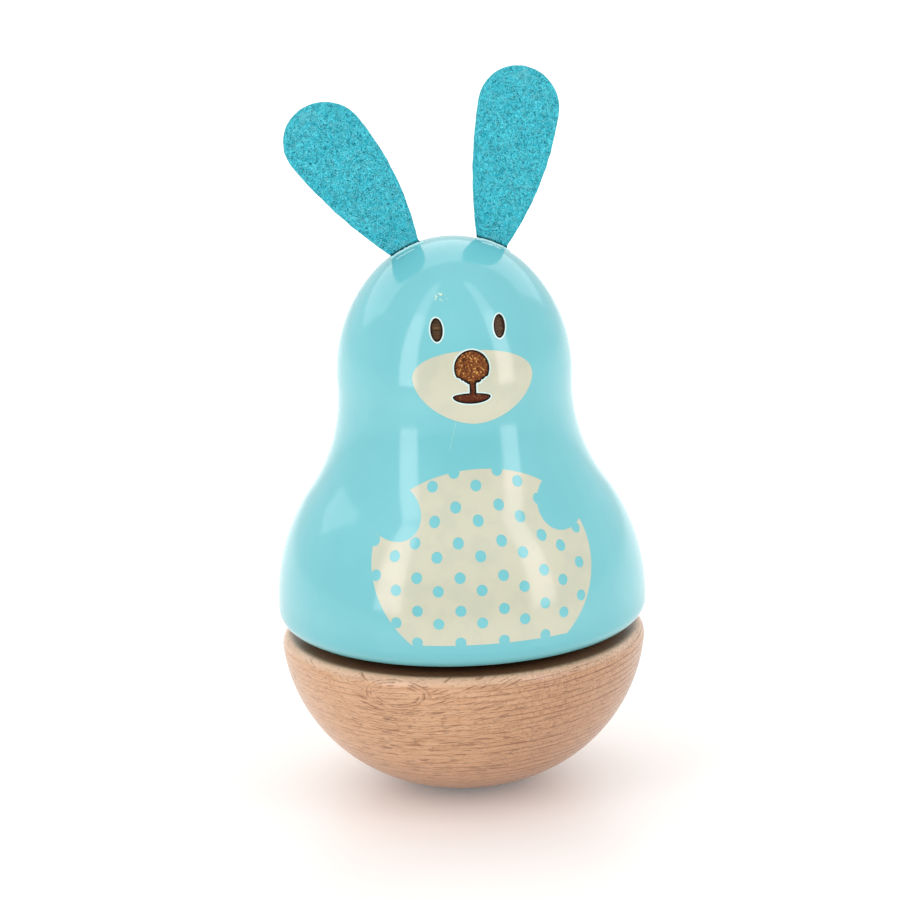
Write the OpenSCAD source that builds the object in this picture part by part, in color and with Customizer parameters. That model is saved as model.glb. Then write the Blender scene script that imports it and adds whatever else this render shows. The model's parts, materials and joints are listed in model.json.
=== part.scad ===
// Bunny roly-poly with a wind-up musical movement.
// Millimetres. The foot rests on z = 0, the winding arbor is the Z axis and the face looks towards -Y.

/* [Base] */
// Radius of the base at its widest
base_r = 44.7; // [42:0.1:48]
// Height at which it is widest
rim_z = 36.45; // [34:0.05:39]
// How much larger the radius of the sole's curve is than the base
sole_extra = 10.6; // [6:0.2:20]
// How much smaller the radius of the flank's curve is than the base
flank_less = 4.75; // [3:0.05:7]
// Radius of the flat foot in the middle of the sole
foot_r = 6; // [3:0.5:10]
// Radius of the rounding at the rim
rim_r = 3; // [2:0.2:5]
// Height of the flat top above the widest level
rim_rise = 2.7; // [1.5:0.1:2.9]
// Radius of the disc that closes the base
disc_r = 33; // [31:0.5:36]
// Thickness of that disc
disc_t = 5; // [4:0.5:6]

/* [Ballast] */
// Radius of the cast weight
ballast_r = 27; // [24:0.5:28]
// Radius of its lower face
ballast_foot_r = 19; // [15:0.5:21]
// Height of its sloping lower part
ballast_slope_h = 7; // [5:0.5:9]
// Room between the weight and the end of the arbor above it
ballast_room = 0.9; // [0.5:0.1:3]
// Height of its lower face above the foot
ballast_z = 9; // [8:0.5:10]
// Radius of the screw that holds the weight
ballast_screw_r = 1.8; // [1.5:0.1:2.5]
// Radius of that screw's head
ballast_screw_head_r = 3.6; // [3:0.1:5]
// Height of that screw's head
ballast_screw_head_h = 2; // [1.5:0.1:3]
// How far that screw bites into the wood
ballast_screw_bite = 5; // [3:0.5:6]

/* [Seam] */
// Gap between the base and the figure
seam_gap = 2.3; // [1.2:0.1:3]
// Inner radius of the felt ring that the figure slides on
glide_in_r = 20; // [16:0.5:22]
// Width of that ring
glide_w = 8; // [5:0.5:9]

/* [Figure] */
// Radius of the skirt at its widest
body_r = 45.35; // [44:0.1:47]
// Height of the turned figure
body_h = 95; // [92:0.5:98]
// Radius of the rounding along the lower edge
body_fillet = 4.7; // [3:0.1:5.5]
// Height at which the skirt is widest
skirt_h = 6; // [5.6:0.1:8]
// Radius of the neck's hollow curve, seen from the side
neck_curve_r = 42; // [36:1:50]
// Height of the neck
neck_h = 58; // [56:0.5:60]
// Radius of the head at its widest
head_r = 28.7; // [28:0.1:30]
// Height at which the head is widest
head_h = 62; // [61:0.5:64]
// Radius of the crown's curve, seen from the side
crown_r = 26; // [24:0.5:27]

/* [Ears] */
// Length of an ear above the head
ear_len = 42; // [36:0.5:50]
// Radius of the round tip of an ear
ear_tip_r = 9.2; // [8:0.1:12]
// Width of an ear where it enters the head
ear_root_w = 5.4; // [4:0.2:9]
// Radius of the bowed sides of an ear
ear_side_r = 74; // [50:2:120]
// Thickness of the felt
ear_t = 3; // [2:0.2:4]
// Length of felt glued into the slot
ear_sunk = 8; // [5:0.5:12]
// Distance of each ear's root from the middle
ear_x = 10.6; // [8:0.2:13]
// Distance of the roots behind the middle
ear_y = 1.8; // [-2:0.2:11]
// Outward lean of the ear on the left
left_lean = 34.5; // [0:0.5:40]
// Outward lean of the ear on the right
right_lean = 13.5; // [0:0.5:40]

/* [Floor board] */
// Thickness of the plywood floor of the figure
board_t = 4; // [3:0.5:5]
// Width of the ledge that the floor is screwed to
ledge_w = 4.2; // [3.8:0.1:5]
// Number of screws in the floor
board_screws = 4; // [3:1:6]
// Room between the movement and the wall round it
cavity_room = 1.2; // [0.8:0.1:1.5]

/* [Winding arbor] */
// Radius of the arbor
arbor_r = 2.4; // [2:0.1:2.8]
// Radius of the part that the mainspring winds on
spring_hub_r = 3.2; // [3:0.1:4]
// Radius of the collar that stands on the base
collar_r = 6; // [4:0.5:8]
// Radius of the plate under the disc
anchor_r = 11; // [8:0.5:14]
// Thickness of that plate
anchor_t = 1.5; // [1:0.1:2]
// Width of the lock nut across its flats
nut_w = 8; // [7:0.5:10]
// Thickness of the lock nut
nut_t = 3; // [2.5:0.1:3.5]
// Length of thread that shows below the nut
thread_end = 0.6; // [0.3:0.1:1]

/* [Spring barrel] */
// Outer radius of the barrel
barrel_r = 10.5; // [9.5:0.1:11]
// Height of the barrel without its cover
barrel_h = 9; // [7:0.5:11]
// Thickness of its sheet
barrel_wall = 0.6; // [0.4:0.1:0.8]
// Turns of the mainspring
spring_turns = 6; // [4:1:7]
// Thickness of the mainspring's strip
spring_t = 0.3; // [0.2:0.05:0.4]
// Space between the strip and the barrel's floor and cover
spring_side = 0.4; // [0.3:0.1:0.8]

/* [Crown wheel] */
// Module of the crown wheel's teeth
crown_module = 0.6; // [0.55:0.01:0.65]
// Teeth on the crown wheel
crown_teeth = 28; // [26:1:29]
// Teeth on the pinion that it drives
pinion_teeth = 10; // [9:1:12]
// Length of the crown wheel's teeth
crown_tooth_len = 2.4; // [2:0.1:2.8]
// Bare edge outside the crown wheel's teeth
crown_edge = 0.05; // [0.05:0.05:0.2]
// Thickness of the crown wheel
crown_t = 1.2; // [1:0.1:1.6]
// Radius of the click washer above it
click_r = 4.4; // [3.6:0.1:5]
// Thickness of the click washer
click_t = 0.5; // [0.3:0.1:0.8]
// Radius of the retaining clip
clip_r = 3.8; // [3.2:0.1:4.4]
// Thickness of the retaining clip
clip_t = 0.6; // [0.4:0.1:0.8]
// Width of the retaining clip's mouth
clip_mouth = 3.4; // [3:0.1:4]

/* [Drum] */
// Radius of the drum
drum_r = 6.5; // [6:0.1:6.8]
// Thickness of the drum's sheet
drum_wall = 0.6; // [0.4:0.1:0.8]
// Radius of the drum's arbor
drum_arbor_r = 1; // [0.8:0.05:1.2]
// Number of notes
notes = 18; // [14:1:18]
// Distance from one note to the next
note_pitch = 0.8; // [0.7:0.02:0.82]
// Bare strip at each end of the drum
drum_margin = 0.3; // [0.2:0.1:0.5]
// Height of a pin above the drum
pin_h = 0.8; // [0.5:0.1:1]
// Radius of a pin
pin_r = 0.2; // [0.15:0.01:0.25]
// Thickness of the discs in the drum's ends
end_disc_t = 1; // [0.6:0.1:1.5]

/* [Comb] */
// Thickness of the comb
comb_t = 0.9; // [0.6:0.1:1.2]
// Width of a tine
tine_w = 0.55; // [0.4:0.01:0.6]
// Length of the deepest note's tine
tine_long = 14.5; // [12:0.5:15]
// Length of the highest note's tine
tine_short = 5.5; // [4:0.5:6]
// Width of the solid back of the comb
comb_back_w = 6.5; // [5.5:0.1:6.8]
// Distance of the comb's screws behind the roots of the tines
comb_bolt_in = 3.6; // [3:0.1:4.4]
// Number of notes between the comb's screws and its ends
comb_bolt_notes = 3; // [2:1:4]
// Distance of the comb's seat behind the roots of the tines
seat_setback = 0.8; // [0.5:0.1:1.5]
// Clearance between the tines and the pins
pluck_gap = 0.15; // [0.1:0.05:0.3]
// Number of tines with a tuning weight
weighted_tines = 6; // [3:1:9]
// Length of a tuning weight
weight_len = 2.5; // [1.5:0.1:4]
// Height of a tuning weight
weight_h = 1.2; // [0.8:0.1:2]

/* [Governor] */
// Module of the drum wheel and the governor pinion
train_module = 0.5; // [0.48:0.01:0.52]
// Teeth on the drum wheel
drum_gear_teeth = 38; // [37:1:40]
// Teeth on the governor pinion
governor_pinion_teeth = 10; // [9:1:11]
// Thickness of the drum wheel
gear_t = 1.2; // [1:0.1:1.4]
// Angle, in degrees, by which the governor shaft lies below the level of the drum
governor_drop = 15; // [10:1:20]
// Radius of the governor shaft
governor_shaft_r = 0.7; // [0.6:0.05:0.8]
// Module of the worm and its wheel
worm_module = 0.4; // [0.38:0.01:0.42]
// Teeth on the worm wheel
worm_teeth = 20; // [18:1:21]
// Distance of the worm wheel from the winding arbor
worm_x = 20; // [19:0.2:21]
// Mean radius of the worm's thread
worm_r = 1.15; // [1.1:0.01:1.3]
// Half the depth of the worm's thread
worm_throw = 0.45; // [0.35:0.01:0.5]
// Length of the worm
worm_len = 8; // [6:0.5:9]
// Radius of the worm's pivots
pivot_r = 0.5; // [0.4:0.05:0.6]
// Radius of the fly
fly_r = 5; // [4:0.1:5.2]
// Height of the fly
fly_h = 6.5; // [5:0.5:7]
// Thickness of the fly's wings
fly_t = 0.6; // [0.4:0.1:1]

/* [Bedplate] */
// Thickness of the bedplate
plate_t = 2; // [1.5:0.1:2.5]
// Thickness of the bearing post and the governor's wall
post_t = 1.4; // [1:0.1:1.6]
// Thickness of the bearing bracket
bracket_t = 1.1; // [0.8:0.1:1.4]
// Wall round each bearing
bearing_wall = 2; // [1.5:0.1:2.5]
// Radius of the bedplate's lugs
lug_r = 3.2; // [3:0.1:3.6]

/* [Screws] */
// Radius of the wood screws
screw_r = 0.9; // [0.7:0.05:1]
// Radius of the wood screws' heads
screw_head_r = 1.7; // [1.4:0.1:1.8]
// Height of the wood screws' heads
screw_head_h = 0.9; // [0.6:0.1:1.2]
// Radius of the movement's machine screws
bolt_r = 0.7; // [0.6:0.05:0.9]
// Radius of the machine screws' heads
bolt_head_r = 1.3; // [1.1:0.1:1.5]
// Height of the machine screws' heads
bolt_head_h = 0.8; // [0.6:0.1:1]

// How far the floor's screws bite into the figure
board_screw_bite = 7; // [5:0.5:8]
// How far the comb's screws bite into their seat
seat_bite = 4; // [3:0.5:6]
// Metal left under a blind hole
blind_metal = 0.4; // [0.3:0.1:0.6]
// Wood left under a blind hole
blind_wood = 1; // [0.8:0.1:1.5]

/* [Fits] */
// Clearance of a shaft in its bearing
running_fit = 0.05; // [0.02:0.01:0.09]
// Clearance of a piece that is pushed or screwed home
seat_fit = 0.05; // [0.02:0.01:0.1]
// Clearance of a piece that lies loosely in its place
loose_fit = 0.3; // [0.2:0.05:0.4]
// End play between pieces along a shaft
end_play = 0.4; // [0.2:0.1:0.5]

/* [Hidden] */
$fn = 64;

// How far a cut runs past the face that it starts from
over = 1;

// Height and depth of a gear's teeth, in modules, and their half width at root and tip, in pitches
tooth_add = 0.8;
tooth_ded = 1.15;
tooth_root_share = 0.31;
tooth_tip_share = 0.1;

// The same for the crown wheel
crown_ded_share = 1.1;
crown_root_share = 0.24;

// Share of a screw head's radius that is left at its top
head_taper = 0.75;

// Base: the tangent arcs of its outline, from the sole to the rim
sole_r = base_r + sole_extra;
sole_c = [0, sqrt(sole_r^2 - foot_r^2)];
flank_r = base_r - flank_less;
rim_c = [base_r - rim_r, rim_z];
flank_c = circles_meet(rim_c, flank_r - rim_r, sole_c, sole_r - flank_r);
sole_a = atan2(flank_c.y - sole_c.y, flank_c.x - sole_c.x);
rim_a = atan2(rim_c.y - flank_c.y, rim_c.x - flank_c.x);
base_h = rim_z + rim_rise;
disc_z = base_h - disc_t;
arbor_z = disc_z - anchor_t - nut_t - thread_end;
ballast_top = arbor_z - ballast_room;
ballast_h = ballast_top - ballast_z;

// Figure: its level, and the tangent arcs of its outline
body_z = base_h + seam_gap;
crown_z = body_h - crown_r;
side_r = (head_r^2 + (crown_z - head_h)^2 - crown_r^2) / (2 * (head_r - crown_r));
side_c = [head_r - side_r, head_h];
side_a = atan2(crown_z - head_h, -side_c.x);
neck_c = [side_c.x + sqrt((side_r + neck_curve_r)^2 - (head_h - neck_h)^2), neck_h];
neck_a = atan2(neck_c.y - side_c.y, neck_c.x - side_c.x);
skirt_out = neck_c.x - body_r;
skirt_rise = neck_h - skirt_h;
skirt_r = (skirt_out^2 + skirt_rise^2 - neck_curve_r^2) / (2 * (neck_curve_r - skirt_out));
skirt_c = [body_r - skirt_r, skirt_h];
skirt_a = atan2(neck_c.y - skirt_c.y, neck_c.x - skirt_c.x);
ear_z = body_z + crown_z + sqrt(crown_r^2 - ear_x^2 - ear_y^2);

// Ear outline: bowed sides that run into the round tip
tip_c = [0, ear_len - ear_tip_r];
ear_side_c = circles_meet([ear_root_w / 2, 0], ear_side_r, tip_c, ear_side_r - ear_tip_r);
ear_half_w = ear_side_c.x + ear_side_r;
ear_join = ear_side_c + ear_side_r * (tip_c - ear_side_c) / norm(tip_c - ear_side_c);

// Levels of the movement, counted from the top of the bedplate
plate_z = body_z + board_t + plate_t;
cover_top = barrel_h + barrel_wall;
crown_base = cover_top + loose_fit;
crown_root = crown_base + crown_t;
crown_add = tooth_add * crown_module;
crown_ded = crown_ded_share * crown_module;
crown_pitch_z = crown_root + crown_ded;
drum_z = crown_pitch_z + pinion_teeth * crown_module / 2;

// Crown wheel and the stack above it
crown_mid_r = crown_teeth * crown_module / 2;
crown_in_r = crown_mid_r - crown_tooth_len / 2;
crown_out_r = crown_mid_r + crown_tooth_len / 2;
clip_z = crown_root + click_t;
arbor_top = clip_z + clip_t + thread_end;

// Stations along the drum's axis
post_x = max(barrel_r, crown_out_r) + end_play;
drum_x = post_x + post_t + end_play;
drum_len = notes * note_pitch + 2 * drum_margin;
drum_gear_x = drum_x + drum_len;
bracket_x = drum_gear_x + gear_t + end_play;
bracket_end = bracket_x + bracket_t;
comb_x = drum_x + drum_margin;
comb_end = comb_x + notes * note_pitch;
tip_y = drum_r + pin_h + pluck_gap;

// Governor train
governor_dist = (drum_gear_teeth + governor_pinion_teeth) * train_module / 2 + running_fit;
governor_y = -governor_dist * cos(governor_drop);
governor_z = drum_z - governor_dist * sin(governor_drop);
wheel_r = worm_teeth * worm_module / 2;
worm_lead = PI * worm_module;
worm_y = governor_y - wheel_r - worm_r - 2 * running_fit;
worm_top = governor_z + worm_len / 2;
fly_z = worm_top + end_play;
fly_top = fly_z + fly_h;
arm_z = fly_top + end_play;
arm_t = post_t;
wall_x = worm_x - 3 * post_t;
column_y = worm_y - fly_r - 2 * end_play;
frame_y = column_y - post_t;
frame_w = 2 * bearing_wall;

// Hollow of the figure, from what it has to hold
reach = max(
    norm([bracket_end, governor_y - bearing_wall]),
    norm([comb_end, back_y(comb_end)]),
    norm([worm_x + bearing_wall, frame_y])
);
cavity_r = reach + cavity_room;
rebate_r = cavity_r + ledge_w;
cavity_straight_h = board_t + plate_t + governor_z + bearing_wall + cavity_room;
cavity_top_h = board_t + plate_t + arm_z + arm_t + cavity_room;
cavity_top_r = norm([worm_x + bearing_wall, frame_y]) + cavity_room;
board_screw_r = cavity_r + ledge_w / 2;

// Places of the screws in the bedplate, the comb, the bracket and the governor
lugs = [
    [-barrel_r - lug_r - end_play, 0], [lug_r, frame_y + lug_r], [lug_r, back_y(comb_x) - 2 * lug_r],
];
comb_bolt_x = note_pitch * comb_bolt_notes;
comb_bolts = [for (x = [comb_x + comb_bolt_x, comb_end - comb_bolt_x]) [x, root_y(x) + comb_bolt_in]];
bracket_bolts = [for (y = [-1, 1]) [bracket_x - 2 * bolt_head_r, y * 2 * bolt_head_r]];
governor_bolts = [for (s = [-1, 1]) [worm_x + s * (frame_w / 2 + bolt_head_r), frame_y + 2 * bolt_head_r]];

// Depth of the screws in what they hold on to
bolt_bite = plate_t - blind_metal;
screw_bite = board_t - blind_wood;

// One of the two points where two circles meet: the one nearer to the ear's other side
function circles_meet(p, p_r, q, q_r) =
    let (d = norm(q - p), a = (d^2 + p_r^2 - q_r^2) / (2 * d), h = sqrt(p_r^2 - a^2), u = (q - p) / d)
    p + a * u + h * [-u.y, u.x];

// Line of the tines' roots, and of the comb's back edge
function root_y(x) = tip_y + tine_long - (tine_long - tine_short) * (x - comb_x) / (comb_end - comb_x);
function back_y(x) = root_y(x) + comb_back_w;

// Middle of a note's track along the drum
function note_x(i) = comb_x + (i + 0.5) * note_pitch;

// Point at a radius and an angle
function polar(r, a) = r * [cos(a), sin(a)];

// Part of a disc between two angles
module sector(centre, r, from, to) {
    translate(centre) intersection() {
        circle(r);
        polygon([[0, 0], for (a = [from, (from + to) / 2, to]) polar(2 * r, a)]);
    }
}

// Flat gear with straight-sided teeth, the first one on the x axis
module gear_outline(teeth, module_size) {
    pitch_a = 360 / teeth;
    root_r = module_size * (teeth / 2 - tooth_ded);
    out_r = module_size * (teeth / 2 + tooth_add);
    tooth = [
        [root_r, -tooth_root_share], [out_r, -tooth_tip_share],
        [out_r, tooth_tip_share], [root_r, tooth_root_share],
    ];
    polygon([
        for (i = [0 : teeth - 1]) for (corner = tooth) polar(corner[0], pitch_a * (i + corner[1]))
    ]);
}

// Shape whose own z axis runs along X, placed on the movement
module along_x(x, y, z) {
    translate([x, y, plate_z + z]) rotate([0, 90, 0]) children();
}

// Shape placed on top of the bedplate
module on_plate(z = 0) {
    translate([0, 0, plate_z + z]) children();
}

// Round-headed screw pointing down from the seat of its head
module screw(r, length, head_r, head_h) {
    translate([0, 0, -length]) cylinder(r = r, h = length);
    cylinder(r1 = head_r, r2 = head_r * head_taper, h = head_h);
}

// Outline of the base, turned about the axis
module base_outline() {
    intersection() {
        union() {
            sector(sole_c, sole_r, -90, sole_a);
            sector(flank_c, flank_r, -90, rim_a);
            translate(rim_c) circle(rim_r);
            polygon([sole_c, [0, rim_z - flank_r / 2], [rim_c.x, rim_z - rim_r / 2], [rim_c.x, sole_c.y]]);
        }
        square([base_r + over, base_h]);
    }
}

// Outline of the figure, turned about the axis
module body_outline() {
    intersection() {
        union() {
            sector([0, crown_z], crown_r, side_a, 90);
            sector(side_c, side_r, neck_a, side_a);
            difference() {
                polygon([
                    skirt_c, skirt_c + polar(skirt_r, skirt_a), side_c + polar(side_r, neck_a), side_c,
                ]);
                translate(neck_c) circle(neck_curve_r);
            }
            sector(skirt_c, skirt_r, 0, skirt_a);
            square([body_r - body_fillet, skirt_h]);
            translate([0, body_fillet]) square([body_r, skirt_h - body_fillet]);
            translate([body_r - body_fillet, body_fillet]) circle(body_fillet);
        }
        square([body_r + over, body_h]);
    }
}

// Hollow of the figure with the rebate for its floor
module cavity_outline() {
    square([rebate_r, board_t]);
    polygon([
        [0, 0], [cavity_r, 0], [cavity_r, cavity_straight_h],
        [cavity_top_r, cavity_top_h], [0, cavity_top_h],
    ]);
}

// Outline of one ear, with the length that is glued into the head
module ear_outline() {
    translate(tip_c) circle(ear_tip_r);
    intersection() {
        translate(ear_side_c) circle(ear_side_r);
        mirror([1, 0]) translate(ear_side_c) circle(ear_side_r);
        translate([-ear_half_w, 0]) square([2 * ear_half_w, ear_join.y]);
    }
    translate([-ear_root_w / 2, -ear_sunk]) square([ear_root_w, ear_sunk + over]);
}

// Frame of one ear: across the ear, along it, and through the felt
module ear_place(side, lean) {
    translate([side * ear_x, ear_y, ear_z]) rotate([0, side * lean, 0]) rotate([90, 0, 0]) children();
}

module ear(side, lean) {
    ear_place(side, lean) linear_extrude(ear_t, center = true) ear_outline();
}

// Slot in the head for one ear
module ear_slot(side, lean) {
    slot_w = ear_root_w + 2 * seat_fit;
    ear_place(side, lean)
        translate([-slot_w / 2, -ear_sunk - seat_fit, -ear_t / 2 - seat_fit])
            cube([slot_w, 2 * ear_sunk, ear_t + 2 * seat_fit]);
}

// Screws of the floor board, pointing up from its underside
module board_screw_places() {
    for (i = [0 : board_screws - 1])
        rotate(360 * (i + 0.5) / board_screws) translate([board_screw_r, 0, body_z]) children();
}

module base_bowl() {
    color("burlywood") difference() {
        rotate_extrude() base_outline();
        translate([0, 0, disc_z]) cylinder(r = disc_r + seat_fit, h = disc_t + over);
        rotate_extrude() polygon([
            [0, ballast_z], [ballast_foot_r + loose_fit, ballast_z],
            [ballast_r + loose_fit, ballast_z + ballast_slope_h], [ballast_r + loose_fit, disc_z + over],
            [0, disc_z + over],
        ]);
        translate([0, 0, ballast_z - ballast_screw_bite])
            cylinder(r = ballast_screw_r + seat_fit, h = ballast_screw_bite + over);
    }
}

module ballast_weight() {
    color("dimgray") difference() {
        rotate_extrude() polygon([
            [0, ballast_z], [ballast_foot_r, ballast_z], [ballast_r, ballast_z + ballast_slope_h],
            [ballast_r, ballast_top], [0, ballast_top],
        ]);
        translate([0, 0, ballast_z - over])
            cylinder(r = ballast_screw_r + seat_fit, h = ballast_h + 2 * over);
        translate([0, 0, ballast_top - ballast_screw_head_h - seat_fit])
            cylinder(r = ballast_screw_head_r + loose_fit, h = ballast_screw_head_h + over);
    }
}

module ballast_screw() {
    seat = ballast_top - ballast_screw_head_h - seat_fit;
    length = seat - ballast_z + ballast_screw_bite - seat_fit;
    color("silver") translate([0, 0, seat])
        screw(ballast_screw_r, length, ballast_screw_head_r, ballast_screw_head_h);
}

module top_disc() {
    color("tan") difference() {
        translate([0, 0, disc_z]) cylinder(r = disc_r, h = disc_t);
        translate([0, 0, disc_z - over]) cylinder(r = arbor_r + seat_fit, h = disc_t + 2 * over);
    }
}

module anchor_plate() {
    color("lightgray") difference() {
        translate([0, 0, disc_z - anchor_t]) cylinder(r = anchor_r, h = anchor_t);
        translate([0, 0, disc_z - anchor_t - over])
            cylinder(r = arbor_r + seat_fit, h = anchor_t + 2 * over);
    }
}

module lock_nut() {
    nut_z = disc_z - anchor_t - nut_t;
    color("silver") difference() {
        translate([0, 0, nut_z]) cylinder(r = nut_w / 2 / cos(30), h = nut_t, $fn = 6);
        translate([0, 0, nut_z - over]) cylinder(r = arbor_r + seat_fit, h = nut_t + 2 * over);
    }
}

module winding_arbor() {
    hub_z = plate_z + barrel_wall + loose_fit;
    hub_top = plate_z + barrel_h - loose_fit;
    color("silver") rotate_extrude() polygon([
        [0, arbor_z], [arbor_r, arbor_z], [arbor_r, base_h], [collar_r, base_h],
        [collar_r, body_z - loose_fit], [arbor_r, body_z - loose_fit],
        [arbor_r, hub_z], [spring_hub_r, hub_z], [spring_hub_r, hub_top], [arbor_r, hub_top],
        [arbor_r, plate_z + arbor_top], [0, plate_z + arbor_top],
    ]);
}

module felt_glide() {
    color("darkslategray") translate([0, 0, base_h]) difference() {
        cylinder(r = glide_in_r + glide_w, h = seam_gap - loose_fit);
        translate([0, 0, -over]) cylinder(r = glide_in_r, h = seam_gap + 2 * over);
    }
}

module crown_wheel() {
    root_w = crown_root_share * PI * crown_module;
    tip_w = tooth_tip_share * PI * crown_module;
    tooth_h = crown_ded + crown_add;
    color("goldenrod") on_plate() {
        difference() {
            translate([0, 0, crown_base]) cylinder(r = crown_out_r, h = crown_t);
            translate([0, 0, crown_base - over]) cylinder(r = arbor_r + seat_fit, h = crown_t + 2 * over);
        }
        for (i = [0 : crown_teeth - 1]) rotate(360 * (i + 0.5) / crown_teeth)
            translate([crown_in_r, 0, crown_root]) rotate([90, 0, 90])
                linear_extrude(crown_tooth_len - crown_edge) polygon([
                    [-root_w, -crown_t / 2], [root_w, -crown_t / 2], [root_w, 0],
                    [tip_w, tooth_h], [-tip_w, tooth_h], [-root_w, 0],
                ]);
    }
}

module click_washer() {
    color("lightsteelblue") on_plate(crown_root) difference() {
        cylinder(r = click_r, h = click_t);
        translate([0, 0, -over]) cylinder(r = arbor_r + seat_fit, h = click_t + 2 * over);
    }
}

// Ring that snaps over the arbor, open at the back
module retaining_clip() {
    color("gray") on_plate(clip_z) difference() {
        cylinder(r = clip_r, h = clip_t);
        translate([0, 0, -over]) cylinder(r = arbor_r + seat_fit, h = clip_t + 2 * over);
        translate([-clip_r - over, -clip_mouth / 2, -over])
            cube([clip_r + over, clip_mouth, clip_t + 2 * over]);
    }
}

module body_shell() {
    color("paleturquoise") difference() {
        translate([0, 0, body_z]) rotate_extrude() difference() {
            body_outline();
            cavity_outline();
        }
        ear_slot(-1, left_lean);
        ear_slot(1, right_lean);
        board_screw_places() translate([0, 0, board_t - over])
            cylinder(r = screw_r + seat_fit, h = board_screw_bite + over);
    }
}

module left_ear() {
    color("cadetblue") ear(-1, left_lean);
}

module right_ear() {
    color("cadetblue") ear(1, right_lean);
}

module floor_board() {
    color("tan") difference() {
        translate([0, 0, body_z]) cylinder(r = rebate_r - seat_fit, h = board_t);
        translate([0, 0, body_z - over]) cylinder(r = spring_hub_r + loose_fit, h = board_t + 2 * over);
        board_screw_places() {
            translate([0, 0, -over]) cylinder(r = screw_r + seat_fit, h = board_t + 2 * over);
            translate([0, 0, -over]) cylinder(r = screw_head_r + seat_fit, h = screw_head_h + over);
        }
        for (p = lugs) translate([p.x, p.y, body_z + board_t - screw_bite - seat_fit])
            cylinder(r = screw_r + seat_fit, h = board_t);
    }
}

module floor_board_screws() {
    color("silver") board_screw_places() translate([0, 0, screw_head_h]) mirror([0, 0, 1])
        screw(screw_r, board_t - screw_head_h + board_screw_bite - seat_fit, screw_head_r, screw_head_h);
}

// Solid back of the comb, as far as its seat reaches
module comb_seat_outline() {
    polygon([
        [comb_x, root_y(comb_x) + seat_setback], [comb_end, root_y(comb_end) + seat_setback],
        [comb_end, back_y(comb_end)], [comb_x, back_y(comb_x)],
    ]);
}

module bedplate() {
    comb_under = drum_z - comb_t / 2;
    corner_r = bearing_wall;
    post_half_w = bearing_wall + drum_arbor_r;
    corners = [
        [bracket_end - corner_r, governor_y + corner_r], [bracket_end - corner_r, 2 * bearing_wall],
        [comb_end - corner_r, back_y(comb_end) - corner_r], [comb_x + corner_r, back_y(comb_x) - corner_r],
        [worm_x + frame_w / 2 + corner_r, frame_y + corner_r], [wall_x, frame_y + corner_r],
    ];
    color("lightslategray") difference() {
        union() {
            translate([0, 0, plate_z - plate_t]) linear_extrude(plate_t) hull() {
                circle(barrel_r + corner_r, $fn = 48);
                for (p = lugs) translate(p) circle(lug_r, $fn = 32);
                for (p = corners) translate(p) circle(corner_r, $fn = 24);
            }
            on_plate(-plate_t / 2) linear_extrude(plate_t / 2 + comb_under) comb_seat_outline();
            on_plate(-plate_t / 2) translate([post_x, -post_half_w, 0])
                cube([post_t, 2 * post_half_w, plate_t / 2 + drum_z + post_half_w]);
        }
        on_plate(-plate_t - over) cylinder(r = spring_hub_r + loose_fit, h = plate_t + 2 * over);
        along_x(post_x - over, 0, drum_z) cylinder(r = drum_arbor_r + running_fit, h = post_t + 2 * over);
        for (p = lugs) translate([p.x, p.y, plate_z - plate_t - over])
            cylinder(r = screw_r + seat_fit, h = plate_t + 2 * over);
        for (p = comb_bolts) translate([p.x, p.y, plate_z + comb_under - seat_bite])
            cylinder(r = bolt_r + seat_fit, h = seat_bite + over);
        for (p = concat(bracket_bolts, governor_bolts)) translate([p.x, p.y, plate_z - bolt_bite - seat_fit])
            cylinder(r = bolt_r + seat_fit, h = plate_t);
    }
}

module bedplate_screws() {
    color("silver") for (p = lugs) translate([p.x, p.y, plate_z])
        screw(screw_r, plate_t + screw_bite, screw_head_r, screw_head_h);
}

module spring_barrel() {
    color("gold") on_plate() difference() {
        cylinder(r = barrel_r, h = barrel_h);
        translate([0, 0, barrel_wall]) cylinder(r = barrel_r - barrel_wall, h = barrel_h);
        translate([0, 0, -over]) cylinder(r = arbor_r + running_fit, h = barrel_h);
    }
}

module barrel_cover() {
    color("gold") on_plate(barrel_h) difference() {
        cylinder(r = barrel_r, h = barrel_wall);
        translate([0, 0, -over]) cylinder(r = arbor_r + running_fit, h = barrel_wall + 2 * over);
    }
}

// Flat spiral strip from the hub of the arbor to the wall of the barrel
module mainspring() {
    steps = 24;
    in_r = spring_hub_r + loose_fit;
    out_r = barrel_r - barrel_wall - loose_fit - spring_t;
    function strip_r(i) = in_r + (out_r - in_r) * i / (steps * spring_turns);
    turn = [for (i = [0 : steps * spring_turns]) i];
    color("steelblue") on_plate(barrel_wall + spring_side)
        linear_extrude(barrel_h - barrel_wall - 2 * spring_side) polygon(concat(
            [for (i = turn) polar(strip_r(i), 360 * i / steps)],
            [for (i = [steps * spring_turns : -1 : 0]) polar(strip_r(i) + spring_t, 360 * i / steps)]
        ));
}

module comb() {
    color("silver") on_plate(drum_z - comb_t / 2) difference() {
        linear_extrude(comb_t) polygon([
            for (i = [0 : notes - 1]) for (side = [-1, 1]) let (x = note_x(i) + side * tine_w / 2)
                each side < 0 ? [[x, root_y(x)], [x, tip_y]] : [[x, tip_y], [x, root_y(x)]],
            [comb_end, root_y(comb_end)], [comb_end, back_y(comb_end)],
            [comb_x, back_y(comb_x)], [comb_x, root_y(comb_x)],
        ]);
        for (p = comb_bolts) translate([p.x, p.y, -over])
            cylinder(r = bolt_r + seat_fit, h = comb_t + 2 * over);
    }
}

// Lead weights under the tips of the deepest notes
module comb_weights() {
    color("dimgray") for (i = [0 : weighted_tines - 1])
        on_plate(drum_z - comb_t / 2 - weight_h) translate([note_x(i) - tine_w / 2, tip_y + pluck_gap, 0])
            cube([tine_w, weight_len, weight_h]);
}

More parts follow.
